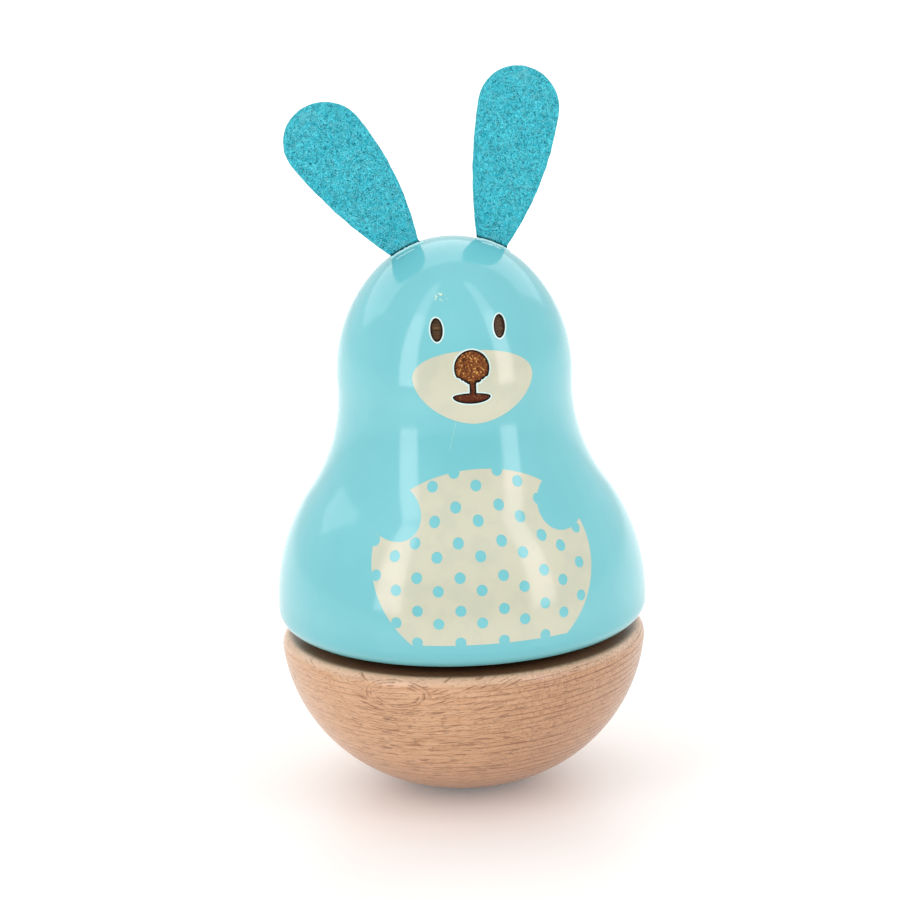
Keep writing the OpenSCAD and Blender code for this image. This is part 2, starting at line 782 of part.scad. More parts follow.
module comb_screws() {
    color("gray") for (p = comb_bolts) translate([p.x, p.y, plate_z + drum_z + comb_t / 2])
        screw(bolt_r, comb_t + seat_bite - seat_fit, bolt_head_r, bolt_head_h);
}

// Sheet bracket with a foot, and a bearing for the drum and one for the governor shaft
module bearing_bracket() {
    top = drum_z + drum_arbor_r + bearing_wall;
    low_top = governor_z + governor_shaft_r + bearing_wall;
    edge = governor_y - governor_shaft_r - bearing_wall;
    half_w = drum_arbor_r + bearing_wall;
    foot_x = bracket_x - 4 * bolt_head_r;
    color("silver") on_plate() difference() {
        union() {
            translate([bracket_x, 0, 0]) rotate([90, 0, 90]) linear_extrude(bracket_t)
                polygon([[edge, 0], [half_w, 0], [half_w, top], [-half_w, top], [edge, low_top]]);
            translate([foot_x, -4 * bolt_head_r, 0])
                cube([bracket_end - foot_x, 8 * bolt_head_r, bracket_t]);
        }
        translate([bracket_x - over, 0, drum_z]) rotate([0, 90, 0])
            cylinder(r = drum_arbor_r + running_fit, h = bracket_t + 2 * over);
        translate([bracket_x - over, governor_y, governor_z]) rotate([0, 90, 0])
            cylinder(r = governor_shaft_r + running_fit, h = bracket_t + 2 * over);
        for (p = bracket_bolts) translate([p.x, p.y, -over])
            cylinder(r = bolt_r + seat_fit, h = bracket_t + 2 * over);
    }
}

module bracket_screws() {
    color("gray") for (p = bracket_bolts) translate([p.x, p.y, plate_z + bracket_t])
        screw(bolt_r, bracket_t + bolt_bite, bolt_head_r, bolt_head_h);
}

// Bent frame: foot, wall for the governor shaft, column and arm over the fly
module governor_frame() {
    foot_t = post_t;
    half_w = frame_w / 2;
    color("silver") on_plate() difference() {
        union() {
            translate([wall_x, frame_y, 0])
                cube([worm_x + half_w + 2 * bolt_head_r - wall_x, governor_y + half_w - frame_y, foot_t]);
            translate([wall_x, governor_y - half_w, 0])
                cube([post_t, frame_w, governor_z + governor_shaft_r + bearing_wall]);
            translate([worm_x - half_w, frame_y, 0]) cube([frame_w, post_t, arm_z + arm_t]);
            translate([worm_x - half_w, frame_y, arm_z]) cube([frame_w, worm_y + half_w - frame_y, arm_t]);
        }
        translate([wall_x - over, governor_y, governor_z]) rotate([0, 90, 0])
            cylinder(r = governor_shaft_r + running_fit, h = post_t + 2 * over);
        translate([worm_x, worm_y, foot_t / 2]) cylinder(r = pivot_r + running_fit, h = foot_t);
        translate([worm_x, worm_y, arm_z - over]) cylinder(r = pivot_r + running_fit, h = arm_t + 2 * over);
        for (p = governor_bolts) translate([p.x, p.y, -over])
            cylinder(r = bolt_r + seat_fit, h = foot_t + 2 * over);
    }
}

module governor_screws() {
    color("gray") for (p = governor_bolts) translate([p.x, p.y, plate_z + post_t])
        screw(bolt_r, post_t + bolt_bite, bolt_head_r, bolt_head_h);
}

module drum_cylinder() {
    color("gold") along_x(drum_x, 0, drum_z) difference() {
        cylinder(r = drum_r, h = drum_len);
        translate([0, 0, -over]) cylinder(r = drum_r - drum_wall, h = drum_len + 2 * over);
    }
}

// Pins of a made-up tune: each note's track carries its own number of pins at its own angles
module drum_pins() {
    golden_a = 137.5;
    fewest = 5;
    more = 4;
    delay = 0.2;
    color("khaki") for (i = [0 : notes - 1]) let (count = fewest + (i * fewest) % more)
        for (k = [0 : count - 1])
            along_x(note_x(i), 0, drum_z) rotate(golden_a * i + 360 * (k + delay * ((i + 2 * k) % 3)) / count)
                translate([drum_r - drum_wall / 2, 0, 0]) rotate([0, 90, 0])
                    cylinder(r = pin_r, h = pin_h + drum_wall / 2, $fn = 6);
}

module drum_end_discs() {
    starts = [drum_x, drum_x + drum_len - end_disc_t];
    color("goldenrod") for (x = starts) along_x(x, 0, drum_z) difference() {
        cylinder(r = drum_r - drum_wall - seat_fit, h = end_disc_t);
        translate([0, 0, -over]) cylinder(r = drum_arbor_r + seat_fit, h = end_disc_t + 2 * over);
    }
}

module drum_arbor() {
    start_x = crown_in_r - end_play;
    color("silver") along_x(start_x, 0, drum_z)
        cylinder(r = drum_arbor_r, h = bracket_end + end_play - start_x);
}

module drum_pinion() {
    color("gold") along_x(crown_in_r + loose_fit, 0, drum_z)
        linear_extrude(crown_tooth_len - loose_fit) difference() {
            gear_outline(pinion_teeth, crown_module);
            circle(drum_arbor_r + seat_fit);
        }
}

module drum_gear() {
    color("gold") along_x(drum_gear_x, 0, drum_z) linear_extrude(gear_t) difference() {
        rotate(governor_drop - 90) gear_outline(drum_gear_teeth, train_module);
        circle(drum_arbor_r + seat_fit);
    }
}

module governor_shaft() {
    color("silver") along_x(wall_x - end_play, governor_y, governor_z)
        cylinder(r = governor_shaft_r, h = bracket_end + 2 * end_play - wall_x);
}

module governor_pinion() {
    color("gold") along_x(drum_gear_x, governor_y, governor_z) linear_extrude(gear_t) difference() {
        rotate(governor_drop + 90 + 180 / governor_pinion_teeth)
            gear_outline(governor_pinion_teeth, train_module);
        circle(governor_shaft_r + seat_fit);
    }
}

module worm_wheel() {
    color("ivory") along_x(worm_x - gear_t / 2, governor_y, governor_z) linear_extrude(gear_t) difference() {
        rotate(-90) gear_outline(worm_teeth, worm_module);
        circle(governor_shaft_r + seat_fit);
    }
}

// Single thread between two pivots; a groove faces the wheel at the wheel's own level
module worm() {
    turns = worm_len / worm_lead;
    foot_t = post_t;
    pivot_z = foot_t / 2 + running_fit;
    pivot_root = 0.2;
    worm_low = governor_z - worm_len / 2;
    color("silver") translate([worm_x, worm_y, plate_z]) {
        translate([0, 0, worm_low]) rotate(270 - 180 * turns)
            linear_extrude(worm_len, twist = -360 * turns, slices = 10 * ceil(turns), $fn = 12)
                translate([worm_throw, 0]) circle(worm_r, $fn = 12);
        translate([0, 0, pivot_z]) cylinder(r = pivot_r, h = worm_low + pivot_root - pivot_z);
        translate([0, 0, worm_top - pivot_root])
            cylinder(r = pivot_r, h = arm_z + arm_t - worm_top + pivot_root);
    }
}

// Two thin wings on a hub that turns with the worm
module fly_vane() {
    hub_r = 3 * pivot_r;
    color("whitesmoke") translate([worm_x, worm_y, plate_z + fly_z]) difference() {
        union() {
            cylinder(r = hub_r, h = fly_h);
            translate([-fly_r, -fly_t / 2, 0]) cube([2 * fly_r, fly_t, fly_h]);
        }
        translate([0, 0, -over]) cylinder(r = pivot_r + seat_fit, h = fly_h + 2 * over);
    }
}

base_bowl();
ballast_weight();
ballast_screw();
top_disc();
anchor_plate();
lock_nut();
winding_arbor();
felt_glide();
crown_wheel();
click_washer();
retaining_clip();
body_shell();
left_ear();
right_ear();
floor_board();
floor_board_screws();
bedplate();
bedplate_screws();
spring_barrel();
barrel_cover();
mainspring();
comb();
comb_weights();
comb_screws();
bearing_bracket();
bracket_screws();
governor_frame();
governor_screws();
drum_cylinder();
drum_pins();
drum_end_discs();
drum_arbor();
drum_pinion();
drum_gear();
governor_shaft();
governor_pinion();
worm_wheel();
worm();
fly_vane();
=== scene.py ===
"""Looks of a wooden bunny roly-poly music box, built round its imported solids.

Metres, +Z up. The foot stands on z = 0, the winding arbor is the Z axis and the face looks towards -Y.
"""

from __future__ import annotations

import json
import logging
import math
import random
from abc import ABC, abstractmethod
from collections.abc import Iterable, Sequence
from dataclasses import dataclass, field
from enum import Enum
from functools import reduce

import bpy
from mathutils import Matrix, Vector

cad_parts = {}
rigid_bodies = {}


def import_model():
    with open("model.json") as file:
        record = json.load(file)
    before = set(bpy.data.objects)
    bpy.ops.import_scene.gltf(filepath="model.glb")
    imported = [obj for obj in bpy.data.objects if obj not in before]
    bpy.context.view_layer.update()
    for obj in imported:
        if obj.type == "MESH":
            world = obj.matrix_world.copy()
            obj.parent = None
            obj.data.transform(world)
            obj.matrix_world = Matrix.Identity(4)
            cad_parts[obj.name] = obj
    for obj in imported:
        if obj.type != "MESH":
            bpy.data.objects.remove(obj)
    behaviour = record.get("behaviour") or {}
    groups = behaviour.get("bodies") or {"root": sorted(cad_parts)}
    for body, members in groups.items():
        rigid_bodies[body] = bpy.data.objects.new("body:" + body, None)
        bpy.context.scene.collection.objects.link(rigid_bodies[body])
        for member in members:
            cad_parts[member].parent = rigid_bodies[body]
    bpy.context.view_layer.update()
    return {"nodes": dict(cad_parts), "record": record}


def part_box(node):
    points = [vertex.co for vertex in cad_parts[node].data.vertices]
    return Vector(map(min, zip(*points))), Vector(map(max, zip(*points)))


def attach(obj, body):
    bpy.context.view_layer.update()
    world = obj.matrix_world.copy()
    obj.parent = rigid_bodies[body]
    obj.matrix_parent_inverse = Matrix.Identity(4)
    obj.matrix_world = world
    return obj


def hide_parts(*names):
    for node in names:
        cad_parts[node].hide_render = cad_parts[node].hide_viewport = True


LOG = logging.getLogger("bunny")
MM = 0.001
SAME_POINT = 1e-7
MERGE_REACH = 1e-6

# How a screen's colour values turn into light
SRGB_KNEE, SRGB_SLOPE, SRGB_OFFSET, SRGB_POWER = 0.04045, 12.92, 0.055, 2.4

Span = tuple[float, float]
Spot = tuple[float, float, float]
STRAIGHT: Spot = (0.0, 0.0, 0.0)
EVEN: Spot = (1.0, 1.0, 1.0)
ACROSS: Spot = (1.0, 1.0, 0.0)
WHITE = (1.0, 1.0, 1.0, 1.0)


class Cut(Enum):
    """What a cutter does to a piece."""

    AWAY = "DIFFERENCE"
    WITHIN = "INTERSECT"
    ONTO = "UNION"


class Side(Enum):
    """Side of the figure, as the viewer sees it."""

    LEFT = -1
    RIGHT = 1


class Ride(Enum):
    """Body that a piece moves with."""

    BASE = "base"
    FIGURE = "figure"


def paint(code: str) -> tuple[float, float, float, float]:
    """Turn a colour such as 86d3da into linear light.

    Args:
        code: Six hexadecimal digits, as the eye sees the colour.

    Returns:
        Red, green, blue and a full alpha.
    """
    parts = [byte / 255 for byte in bytes.fromhex(code)]
    light = [
        p / SRGB_SLOPE if p <= SRGB_KNEE else ((p + SRGB_OFFSET) / (1 + SRGB_OFFSET)) ** SRGB_POWER
        for p in parts
    ]
    return (*light, 1.0)


def flat(x: float, z: float) -> Vector:
    """A point of an outline, in the plane through the axis."""
    return Vector((x, 0.0, z))


def arc(centre: Vector, radius: float, start: float, end: float, step: float = MM) -> list[Vector]:
    """Lay points along a round stretch of an outline.

    Args:
        centre: Middle of the circle.
        radius: Its radius.
        start: Angle of the first point, in degrees from +X towards +Z.
        end: Angle of the last point.
        step: Distance between points.

    Returns:
        The points, both ends included.
    """
    count = max(2, math.ceil(abs(math.radians(end - start)) * radius / step))
    angles = [math.radians(start + (end - start) * i / count) for i in range(count + 1)]
    return [centre + flat(radius * math.cos(a), radius * math.sin(a)) for a in angles]


def angle_to(centre: Vector, point: Vector) -> float:
    """Angle of a point seen from a centre, in degrees."""
    return math.degrees(math.atan2(point.z - centre.z, point.x - centre.x))


def circles_meet(first: Vector, first_r: float, second: Vector, second_r: float) -> Vector:
    """Find where two circles meet, on the left of the line between their centres.

    Args:
        first: Centre of one circle.
        first_r: Its radius.
        second: Centre of the other.
        second_r: Its radius.

    Returns:
        The point.
    """
    apart = (second - first).length
    unit = (second - first) / apart
    along = (apart**2 + first_r**2 - second_r**2) / (2 * apart)
    return first + unit * along + flat(-unit.z, unit.x) * math.sqrt(first_r**2 - along**2)


def joined(*stretches: Iterable[Vector]) -> list[Vector]:
    """Put stretches of an outline together, each shared point once.

    Args:
        stretches: Lists of points, in order.

    Returns:
        One list of points.
    """
    points: list[Vector] = []
    for point in (p for stretch in stretches for p in stretch):
        if not points or (point - points[-1]).length > SAME_POINT:
            points.append(point)
    return points


def oval(centre: Vector, half_w: float, up: float, down: float, power: Span = (2.0, 2.0),
         tilt: float = 0.0, count: int = 64) -> list[Vector]:
    """Outline of an oval whose upper and lower halves may differ.

    Args:
        centre: Middle of its widest line.
        half_w: Half of its width.
        up: Height above the middle.
        down: Depth below it.
        power: Fullness of the upper and of the lower half; 2 is an ellipse.
        tilt: Turn in degrees, from +X towards +Z.
        count: Number of points.

    Returns:
        The closed outline.
    """
    turn = Matrix.Rotation(math.radians(-tilt), 3, "Y")
    points = []
    for i in range(count):
        c, s = math.cos(math.tau * i / count), math.sin(math.tau * i / count)
        height, bend = (up, power[0]) if s > 0 else (down, power[1])
        u = math.copysign(half_w * abs(c) ** (2 / bend), c)
        v = math.copysign(height * abs(s) ** (2 / bend), s)
        points.append(centre + turn @ flat(u, v))
    return points


def select_only(*objects: bpy.types.Object) -> None:
    """Select these objects and nothing else, the first one active.

    Args:
        objects: The objects.
    """
    bpy.ops.object.select_all(action="DESELECT")
    for one in objects:
        one.select_set(True)
    bpy.context.view_layer.objects.active = objects[0]


def draw_line(name: str, points: Sequence[Vector]) -> bpy.types.Object:
    """Draw a line by extruding one vertex from point to point.

    Args:
        name: Name of the new object.
        points: The line's points.

    Returns:
        The object, still in edit mode with all of it selected.
    """
    bpy.ops.object.select_all(action="DESELECT")
    bpy.ops.mesh.primitive_plane_add(size=MM, location=(0.0, 0.0, 0.0))
    line = bpy.context.active_object
    line.name = name
    bpy.ops.object.mode_set(mode="EDIT")
    bpy.ops.mesh.select_mode(type="VERT")
    bpy.ops.mesh.select_all(action="SELECT")
    bpy.ops.mesh.merge(type="CENTER")
    bpy.ops.transform.translate(value=points[0])
    for here, there in zip(points, points[1:]):
        bpy.ops.mesh.extrude_vertices_move(TRANSFORM_OT_translate={"value": there - here})
    bpy.ops.mesh.select_all(action="SELECT")
    return line


def tidy_mesh() -> None:
    """Merge doubles of the mesh in edit mode, turn its faces outwards and leave edit mode."""
    bpy.ops.mesh.select_all(action="SELECT")
    bpy.ops.mesh.remove_doubles(threshold=MERGE_REACH)
    bpy.ops.mesh.normals_make_consistent(inside=False)
    bpy.ops.object.mode_set(mode="OBJECT")


def spun(name: str, points: Sequence[Vector], steps: int = 192) -> bpy.types.Object:
    """Turn an outline about the Z axis, as on a lathe.

    Args:
        name: Name of the piece.
        points: Outline that starts and ends on the axis.
        steps: Faces round the piece.

    Returns:
        A closed piece with its faces outwards.
    """
    piece = draw_line(name, points)
    bpy.ops.mesh.spin(steps=steps, angle=math.tau, center=(0, 0, 0), axis=(0, 0, 1), use_auto_merge=True)
    tidy_mesh()
    return piece


def prism(name: str, points: Sequence[Vector], front: float, back: float) -> bpy.types.Object:
    """Fill an outline and extrude it along Y.

    Args:
        name: Name of the piece.
        points: Closed outline, its last point not repeated.
        front: Y of its front face.
        back: Y of its back face.

    Returns:
        A closed piece with its faces outwards.
    """
    piece = draw_line(name, [p + Vector((0.0, front, 0.0)) for p in points])
    bpy.ops.mesh.edge_face_add()
    bpy.ops.mesh.extrude_region_move(TRANSFORM_OT_translate={"value": (0.0, back - front, 0.0)})
    tidy_mesh()
    return piece


def tube(name: str, points: Sequence[Vector], radius: float, fineness: int = 1) -> bpy.types.Object:
    """Draw a line and thicken it.

    Args:
        name: Name of the piece.
        points: The line's points.
        radius: Radius of the tube.
        fineness: How finely it is rounded.

    Returns:
        A closed tube.
    """
    piece = draw_line(name, points)
    bpy.ops.object.mode_set(mode="OBJECT")
    bpy.ops.object.convert(target="CURVE")
    piece = bpy.context.active_object
    piece.data.bevel_depth = radius
    piece.data.bevel_resolution = fineness
    piece.data.use_fill_caps = True
    bpy.ops.object.convert(target="MESH")
    piece = bpy.context.active_object
    bpy.ops.object.mode_set(mode="EDIT")
    tidy_mesh()
    return piece


def put_in_place(place: Matrix, *pieces: bpy.types.Object) -> None:
    """Move pieces and leave their objects at the origin, with the place in their meshes.

    Args:
        place: Where they go.
        pieces: Pieces that were modelled about the origin, or already stand about it.
    """
    for piece in pieces:
        piece.matrix_world = place @ piece.matrix_world
    select_only(*pieces)
    bpy.ops.object.transform_apply(location=True, rotation=True, scale=True)


def apply_modifier(piece: bpy.types.Object, kind: str, **settings: object) -> None:
    """Add a modifier to a piece and apply it.

    Args:
        piece: The piece.
        kind: Type of the modifier.
        settings: Values of its fields.
    """
    modifier = piece.modifiers.new(kind.title(), kind)
    for key, value in settings.items():
        setattr(modifier, key, value)
    select_only(piece)
    bpy.ops.object.modifier_apply(modifier=modifier.name)


def carve(piece: bpy.types.Object, cutter: bpy.types.Object, cut: Cut) -> None:
    """Cut a piece with another one, which is used up.

    Args:
        piece: Piece that is cut.
        cutter: Closed piece that cuts it.
        cut: What the cutter does.
    """
    apply_modifier(piece, "BOOLEAN", object=cutter, operation=cut.value, solver="EXACT",
                   material_mode="TRANSFER")
    bpy.data.objects.remove(cutter)


def copy_of(piece: bpy.types.Object) -> bpy.types.Object:
    """Copy a piece with a mesh of its own.

    Args:
        piece: The piece.

    Returns:
        The copy.
    """
    twin = piece.copy()
    twin.data = piece.data.copy()
    bpy.context.scene.collection.objects.link(twin)
    return twin


def join(name: str, pieces: Sequence[bpy.types.Object]) -> bpy.types.Object:
    """Put pieces together as one object.

    Args:
        name: Name of the object.
        pieces: The pieces.

    Returns:
        The object.
    """
    if len(pieces) > 1:
        select_only(*pieces)
        bpy.ops.object.join()
    pieces[0].name = name
    return pieces[0]


def smooth(piece: bpy.types.Object, angle: float = 32.0) -> None:
    """Shade a piece smooth, apart from edges sharper than an angle in degrees."""
    select_only(piece)
    bpy.ops.object.shade_smooth_by_angle(angle=math.radians(angle))


@dataclass(frozen=True)
class Cloud:
    """Settings of a cloudy value between 0 and 1; scale and stretch are in lumps per metre, about."""

    scale: float = 1.0
    detail: float = 2.0
    roughness: float = 0.5
    distortion: float = 0.0
    stretch: Spot | None = None
    turn: Spot = STRAIGHT
    step: Span | None = None


class Wiring:
    """Nodes of one tree."""

    def __init__(self, tree: bpy.types.NodeTree) -> None:
        """Keep the tree."""
        self.tree = tree

    def add(self, kind: str, inputs: dict[int | str, object], **settings: object) -> bpy.types.Node:
        """Add a node.

        Args:
            kind: Type of the node.
            inputs: Sockets or values for its inputs.
            settings: Values of its fields.

        Returns:
            The node.
        """
        node = self.tree.nodes.new(kind)
        for key, value in settings.items():
            setattr(node, key, value)
        for key, value in inputs.items():
            self.put(node.inputs[key], value)
        return node

    def put(self, socket: bpy.types.NodeSocket, value: object) -> None:
        """Link a socket to another, or give it a value of its own.

        Args:
            socket: Socket that gets the value.
            value: The other socket, or a plain value.
        """
        if isinstance(value, bpy.types.NodeSocket):
            self.tree.links.new(value, socket)
        else:
            socket.default_value = value

    def sum(self, operation: str, *values: object) -> bpy.types.NodeSocket:
        """Work out a Math node's operation on sockets or numbers."""
        return self.add("ShaderNodeMath", dict(enumerate(values)), operation=operation).outputs[0]

    def product(self, *values: object) -> bpy.types.NodeSocket:
        """Multiply sockets or numbers."""
        return reduce(lambda first, second: self.sum("MULTIPLY", first, second), values)

    def between(self, value: object, span: Span) -> bpy.types.NodeSocket:
        """Lay a value from 0 to 1 over a span."""
        return self.sum("MULTIPLY_ADD", value, span[1] - span[0], span[0])

    def fade(self, value: object, low: float, high: float) -> bpy.types.NodeSocket:
        """Smooth step from 0 at low to 1 at high.

        Args:
            value: Value to step on.
            low: Where the step starts.
            high: Where it ends; below low, the step falls.

        Returns:
            The stepped value.
        """
        if high < low:
            return self.sum("SUBTRACT", 1.0, self.fade(value, high, low))
        inputs = {"Value": value, "From Min": low, "From Max": high}
        return self.add("ShaderNodeMapRange", inputs, interpolation_type="SMOOTHSTEP").outputs[0]

    def saw(self, value: object, gap: float, sharpness: float) -> bpy.types.NodeSocket:
        """Rise from 0 to 1 within each gap, late and sharply."""
        return self.sum("POWER", self.sum("FRACT", self.sum("DIVIDE", value, gap)), sharpness)

    def split(self, vector: bpy.types.NodeSocket) -> tuple[bpy.types.NodeSocket, ...]:
        """The three parts of a vector."""
        return tuple(self.add("ShaderNodeSeparateXYZ", {0: vector}).outputs)

    def length(self, vector: bpy.types.NodeSocket) -> bpy.types.NodeSocket:
        """Length of a vector."""
        return self.add("ShaderNodeVectorMath", {0: vector}, operation="LENGTH").outputs["Value"]


class NodeBoard(Wiring):
    """Nodes of one material, wired on its own object's coordinates."""

    def __init__(self, name: str) -> None:
        """Start a material with its shader.

        Args:
            name: Name of the material.
        """
        self.material = bpy.data.materials.new(name)
        self.material.use_nodes = True
        super().__init__(self.material.node_tree)
        self.shader = self.tree.nodes["Principled BSDF"]
        self.here = self.add("ShaderNodeTexCoord", {}).outputs["Object"]

    def mapped(self, scale: Sequence[float], turn: Sequence[float] = STRAIGHT,
               shift: Sequence[float] = STRAIGHT) -> bpy.types.NodeSocket:
        """Shift, turn and then stretch the coordinates.

        Args:
            scale: Scale along the turned axes.
            turn: Angles in degrees.
            shift: Where the new origin is.

        Returns:
            The new coordinates.
        """
        angles = [math.radians(a) for a in turn]
        moved = self.add("ShaderNodeVectorMath", {0: self.here, 1: shift}, operation="SUBTRACT")
        turned = self.add("ShaderNodeMapping", {"Vector": moved.outputs[0], "Rotation": angles})
        return self.add("ShaderNodeMapping", {"Vector": turned.outputs[0], "Scale": scale}).outputs[0]

    def cloud(self, look: Cloud, vector: bpy.types.NodeSocket | None = None) -> bpy.types.NodeSocket:
        """Cloudy value, stepped where its settings say so.

        Args:
            look: Settings of the cloud.
            vector: Coordinates to use instead of the object's own.

        Returns:
            The value.
        """
        if vector is None:
            vector = self.mapped(look.stretch, look.turn) if look.stretch else self.here
        inputs = {"Vector": vector, "Scale": look.scale, "Detail": look.detail, "Roughness": look.roughness,
                  "Distortion": look.distortion}
        value = self.add("ShaderNodeTexNoise", inputs).outputs[0]
        return self.fade(value, *look.step) if look.step else value

    def blend(self, factor: object, first: object, second: object) -> bpy.types.NodeSocket:
        """Mix two colours.

        Args:
            factor: Share of the second.
            first: First colour.
            second: Second colour.

        Returns:
            The mixed colour.
        """
        node = self.add("ShaderNodeMix", {0: factor, 6: first, 7: second}, data_type="RGBA")
        return node.outputs[2]

    def tint(self, colour: object, code: str, share: object, weight: float = 1.0) -> bpy.types.NodeSocket:
        """Lay a colour over another.

        Args:
            colour: Colour underneath.
            code: Colour on top, as the eye sees it.
            share: Where it lies, from 0 to 1.
            weight: How much of it shows there.

        Returns:
            The mixed colour.
        """
        return self.blend(self.product(share, weight), colour, paint(code))

    def bump(self, height: object, depth: float, over: object = None) -> bpy.types.NodeSocket:
        """Turn a height into a bent normal.

        Args:
            height: Height between 0 and 1.
            depth: Real height of 1, in metres.
            over: Normal that it is added to.

        Returns:
            The normal.
        """
        inputs = {"Height": height, "Distance": depth, "Strength": 1.0}
        if over is not None:
            inputs["Normal"] = over
        return self.add("ShaderNodeBump", inputs).outputs[0]

    def finish(self, inputs: dict[str, object]) -> bpy.types.Material:
        """Wire the shader and hand over the material.

        Args:
            inputs: Sockets or values for the shader's inputs.

        Returns:
            The material.
        """
        for key, value in inputs.items():
            self.put(self.shader.inputs[key], value)
        return self.material


@dataclass(frozen=True)
class Finish(ABC):
    """A finish that can be put on pieces."""

    name: str

    def material(self) -> bpy.types.Material:
        """The finish's material, made once."""
        return bpy.data.materials.get(self.name) or self.made(NodeBoard(self.name))

    @abstractmethod
    def made(self, board: NodeBoard) -> bpy.types.Material:
        """Wire the finish on a new board."""

    def put_on(self, piece: bpy.types.Object) -> None:
        """Give a piece this finish alone."""
        piece.data.materials.clear()
        piece.data.materials.append(self.material())


@dataclass(frozen=True)
class Lacquer(Finish):
    """Glossy sprayed lacquer on turned wood, with a chip on the brow and a hairline scratch, painted shade
    low on the skirt and a painted highlight along its lower edge.
    """

    colour: str = "7aced6"
    deep: str = "75cad2"
    mottle: Cloud = Cloud(45, detail=3, step=(0.35, 0.65))
    # painted shade: the lacquer is painted darker towards the lower skirt
    low_shade_colour: str = "6cc4cd"
    low_z: Span = (52.0 * MM, 43.5 * MM)
    low_weight: float = 0.8
    # painted highlight: a paler band along the rounded lower edge, against its shade
    hem_highlight_colour: str = "a2e9ef"
    hem_z: Span = (42.4 * MM, 41.8 * MM)
    chip_colour: str = "dff0cf"
    chip_place: Spot = (-5.7 * MM, -20.0 * MM, 126.0 * MM)
    chip_scale: Spot = (0.55, 0.55, 1.0)
    chip_reach: Span = (1.25 * MM, 0.375 * MM)
    chip_crumbs: Cloud = Cloud(1700, detail=3, step=(0.53, 0.59))
    scratch_place: Spot = (-5.1 * MM, -28.6 * MM, 94.3 * MM)
    scratch_turn: Spot = (0.0, -15.0, 0.0)
    scratch_reach: tuple[Span, Span, Span] = (
        (0.06 * MM, 0.024 * MM), (4.0 * MM, 3.0 * MM), (4.0 * MM, 3.2 * MM))
    scratch_weight: float = 0.45
    waves: tuple[tuple[Cloud, float], ...] = (
        (Cloud(110, detail=1), 0.04 * MM), (Cloud(330, detail=1), 0.01 * MM),
        (Cloud(700, step=(0.72, 0.78)), 0.03 * MM))
    streaks: Cloud = Cloud(60, detail=4, stretch=(1.0, 1.0, 0.08))
    roughness: Span = (0.09, 0.17)
    coat: float = 0.25
    coat_roughness: float = 0.04

    def made(self, board: NodeBoard) -> bpy.types.Material:
        """Wire the finish on a new board.

        Args:
            board: Board of the new material.

        Returns:
            The material.
        """
        z = board.split(board.here)[2]
        colour = board.blend(board.cloud(self.mottle), paint(self.colour), paint(self.deep))
        # painted shade towards the bottom of the skirt
        colour = board.tint(colour, self.low_shade_colour, board.fade(z, *self.low_z), self.low_weight)
        # painted highlight along the lower edge
        colour = board.tint(colour, self.hem_highlight_colour, board.fade(z, *self.hem_z))
        apart = board.length(board.mapped(self.chip_scale, shift=self.chip_place))
        chip = board.product(board.fade(apart, *self.chip_reach), board.cloud(self.chip_crumbs))
        parts = board.split(board.mapped(EVEN, self.scratch_turn, self.scratch_place))
        sides = [board.fade(board.sum("ABSOLUTE", p), *reach) for p, reach in zip(parts, self.scratch_reach)]
        mark = board.sum("MAXIMUM", chip, board.product(*sides, self.scratch_weight))
        colour = board.tint(colour, self.chip_colour, mark)
        normal = None
        for wave, height in self.waves:
            normal = board.bump(board.cloud(wave), height, over=normal)
        gloss = board.between(board.cloud(self.streaks), self.roughness)
        return board.finish({"Base Color": colour, "Roughness": gloss, "Normal": normal,
                             "Coat Weight": self.coat, "Coat Roughness": self.coat_roughness})


@dataclass(frozen=True)
class Print(Finish):
    """Cream ink printed on the lacquer."""

    colour: str = "d3d5bd"
    thin: str = "ccd1bb"
    speck: str = "8f8d78"
    mottle: Cloud = Cloud(160, detail=4, step=(0.4, 0.65))
    specks: Cloud = Cloud(1300, step=(0.76, 0.80))
    speck_weight: float = 0.6
    grain: Cloud = Cloud(1500)
    relief: float = 0.008 * MM
    roughness: float = 0.16
    coat: float = 0.3
    coat_roughness: float = 0.06

    def made(self, board: NodeBoard) -> bpy.types.Material:
        """Wire the finish on a new board.

        Args:
            board: Board of the new material.

        Returns:
            The material.
        """
        colour = board.blend(board.cloud(self.mottle), paint(self.colour), paint(self.thin))
        colour = board.tint(colour, self.speck, board.cloud(self.specks), self.speck_weight)
        normal = board.bump(board.cloud(self.grain), self.relief)
        return board.finish({"Base Color": colour, "Roughness": self.roughness, "Normal": normal,
                             "Coat Weight": self.coat, "Coat Roughness": self.coat_roughness})


@dataclass(frozen=True)
class Burnt(Finish):
    """Wood laid bare and scorched by engraving, darker low down, with grains that caught the light."""

    bright: str = "e6b262"
    mid: str = "804822"
    dark: str = "3c1d0e"
    low: str = "552316"
    low_weight: float = 0.75
    low_z: Span = (107.0 * MM, 104.6 * MM)
    grit: Cloud = Cloud(detail=3, roughness=0.6, stretch=(2000.0, 2000.0, 2000.0))
    mid_step: Span = (0.32, 0.50)
    bright_step: Span = (0.57, 0.66)
    relief: float = 0.14 * MM
    roughness: float = 0.5
    specular: float = 0.15

    def made(self, board: NodeBoard) -> bpy.types.Material:
        """Wire the finish on a new board.

        Args:
            board: Board of the new material.

        Returns:
            The material.
        """
        grit, z = board.cloud(self.grit), board.split(board.here)[2]
        colour = board.blend(board.fade(grit, *self.mid_step), paint(self.dark), paint(self.mid))
        colour = board.tint(colour, self.bright, board.fade(grit, *self.bright_step))
        colour = board.tint(colour, self.low, board.fade(z, *self.low_z), self.low_weight)
        return board.finish({"Base Color": colour, "Roughness": self.roughness,
                             "Normal": board.bump(grit, self.relief), "Specular IOR Level": self.specular})


# Turn of the grain in the base, in degrees
GRAIN_LEAN: Spot = (0.0, 2.5, 0.0)


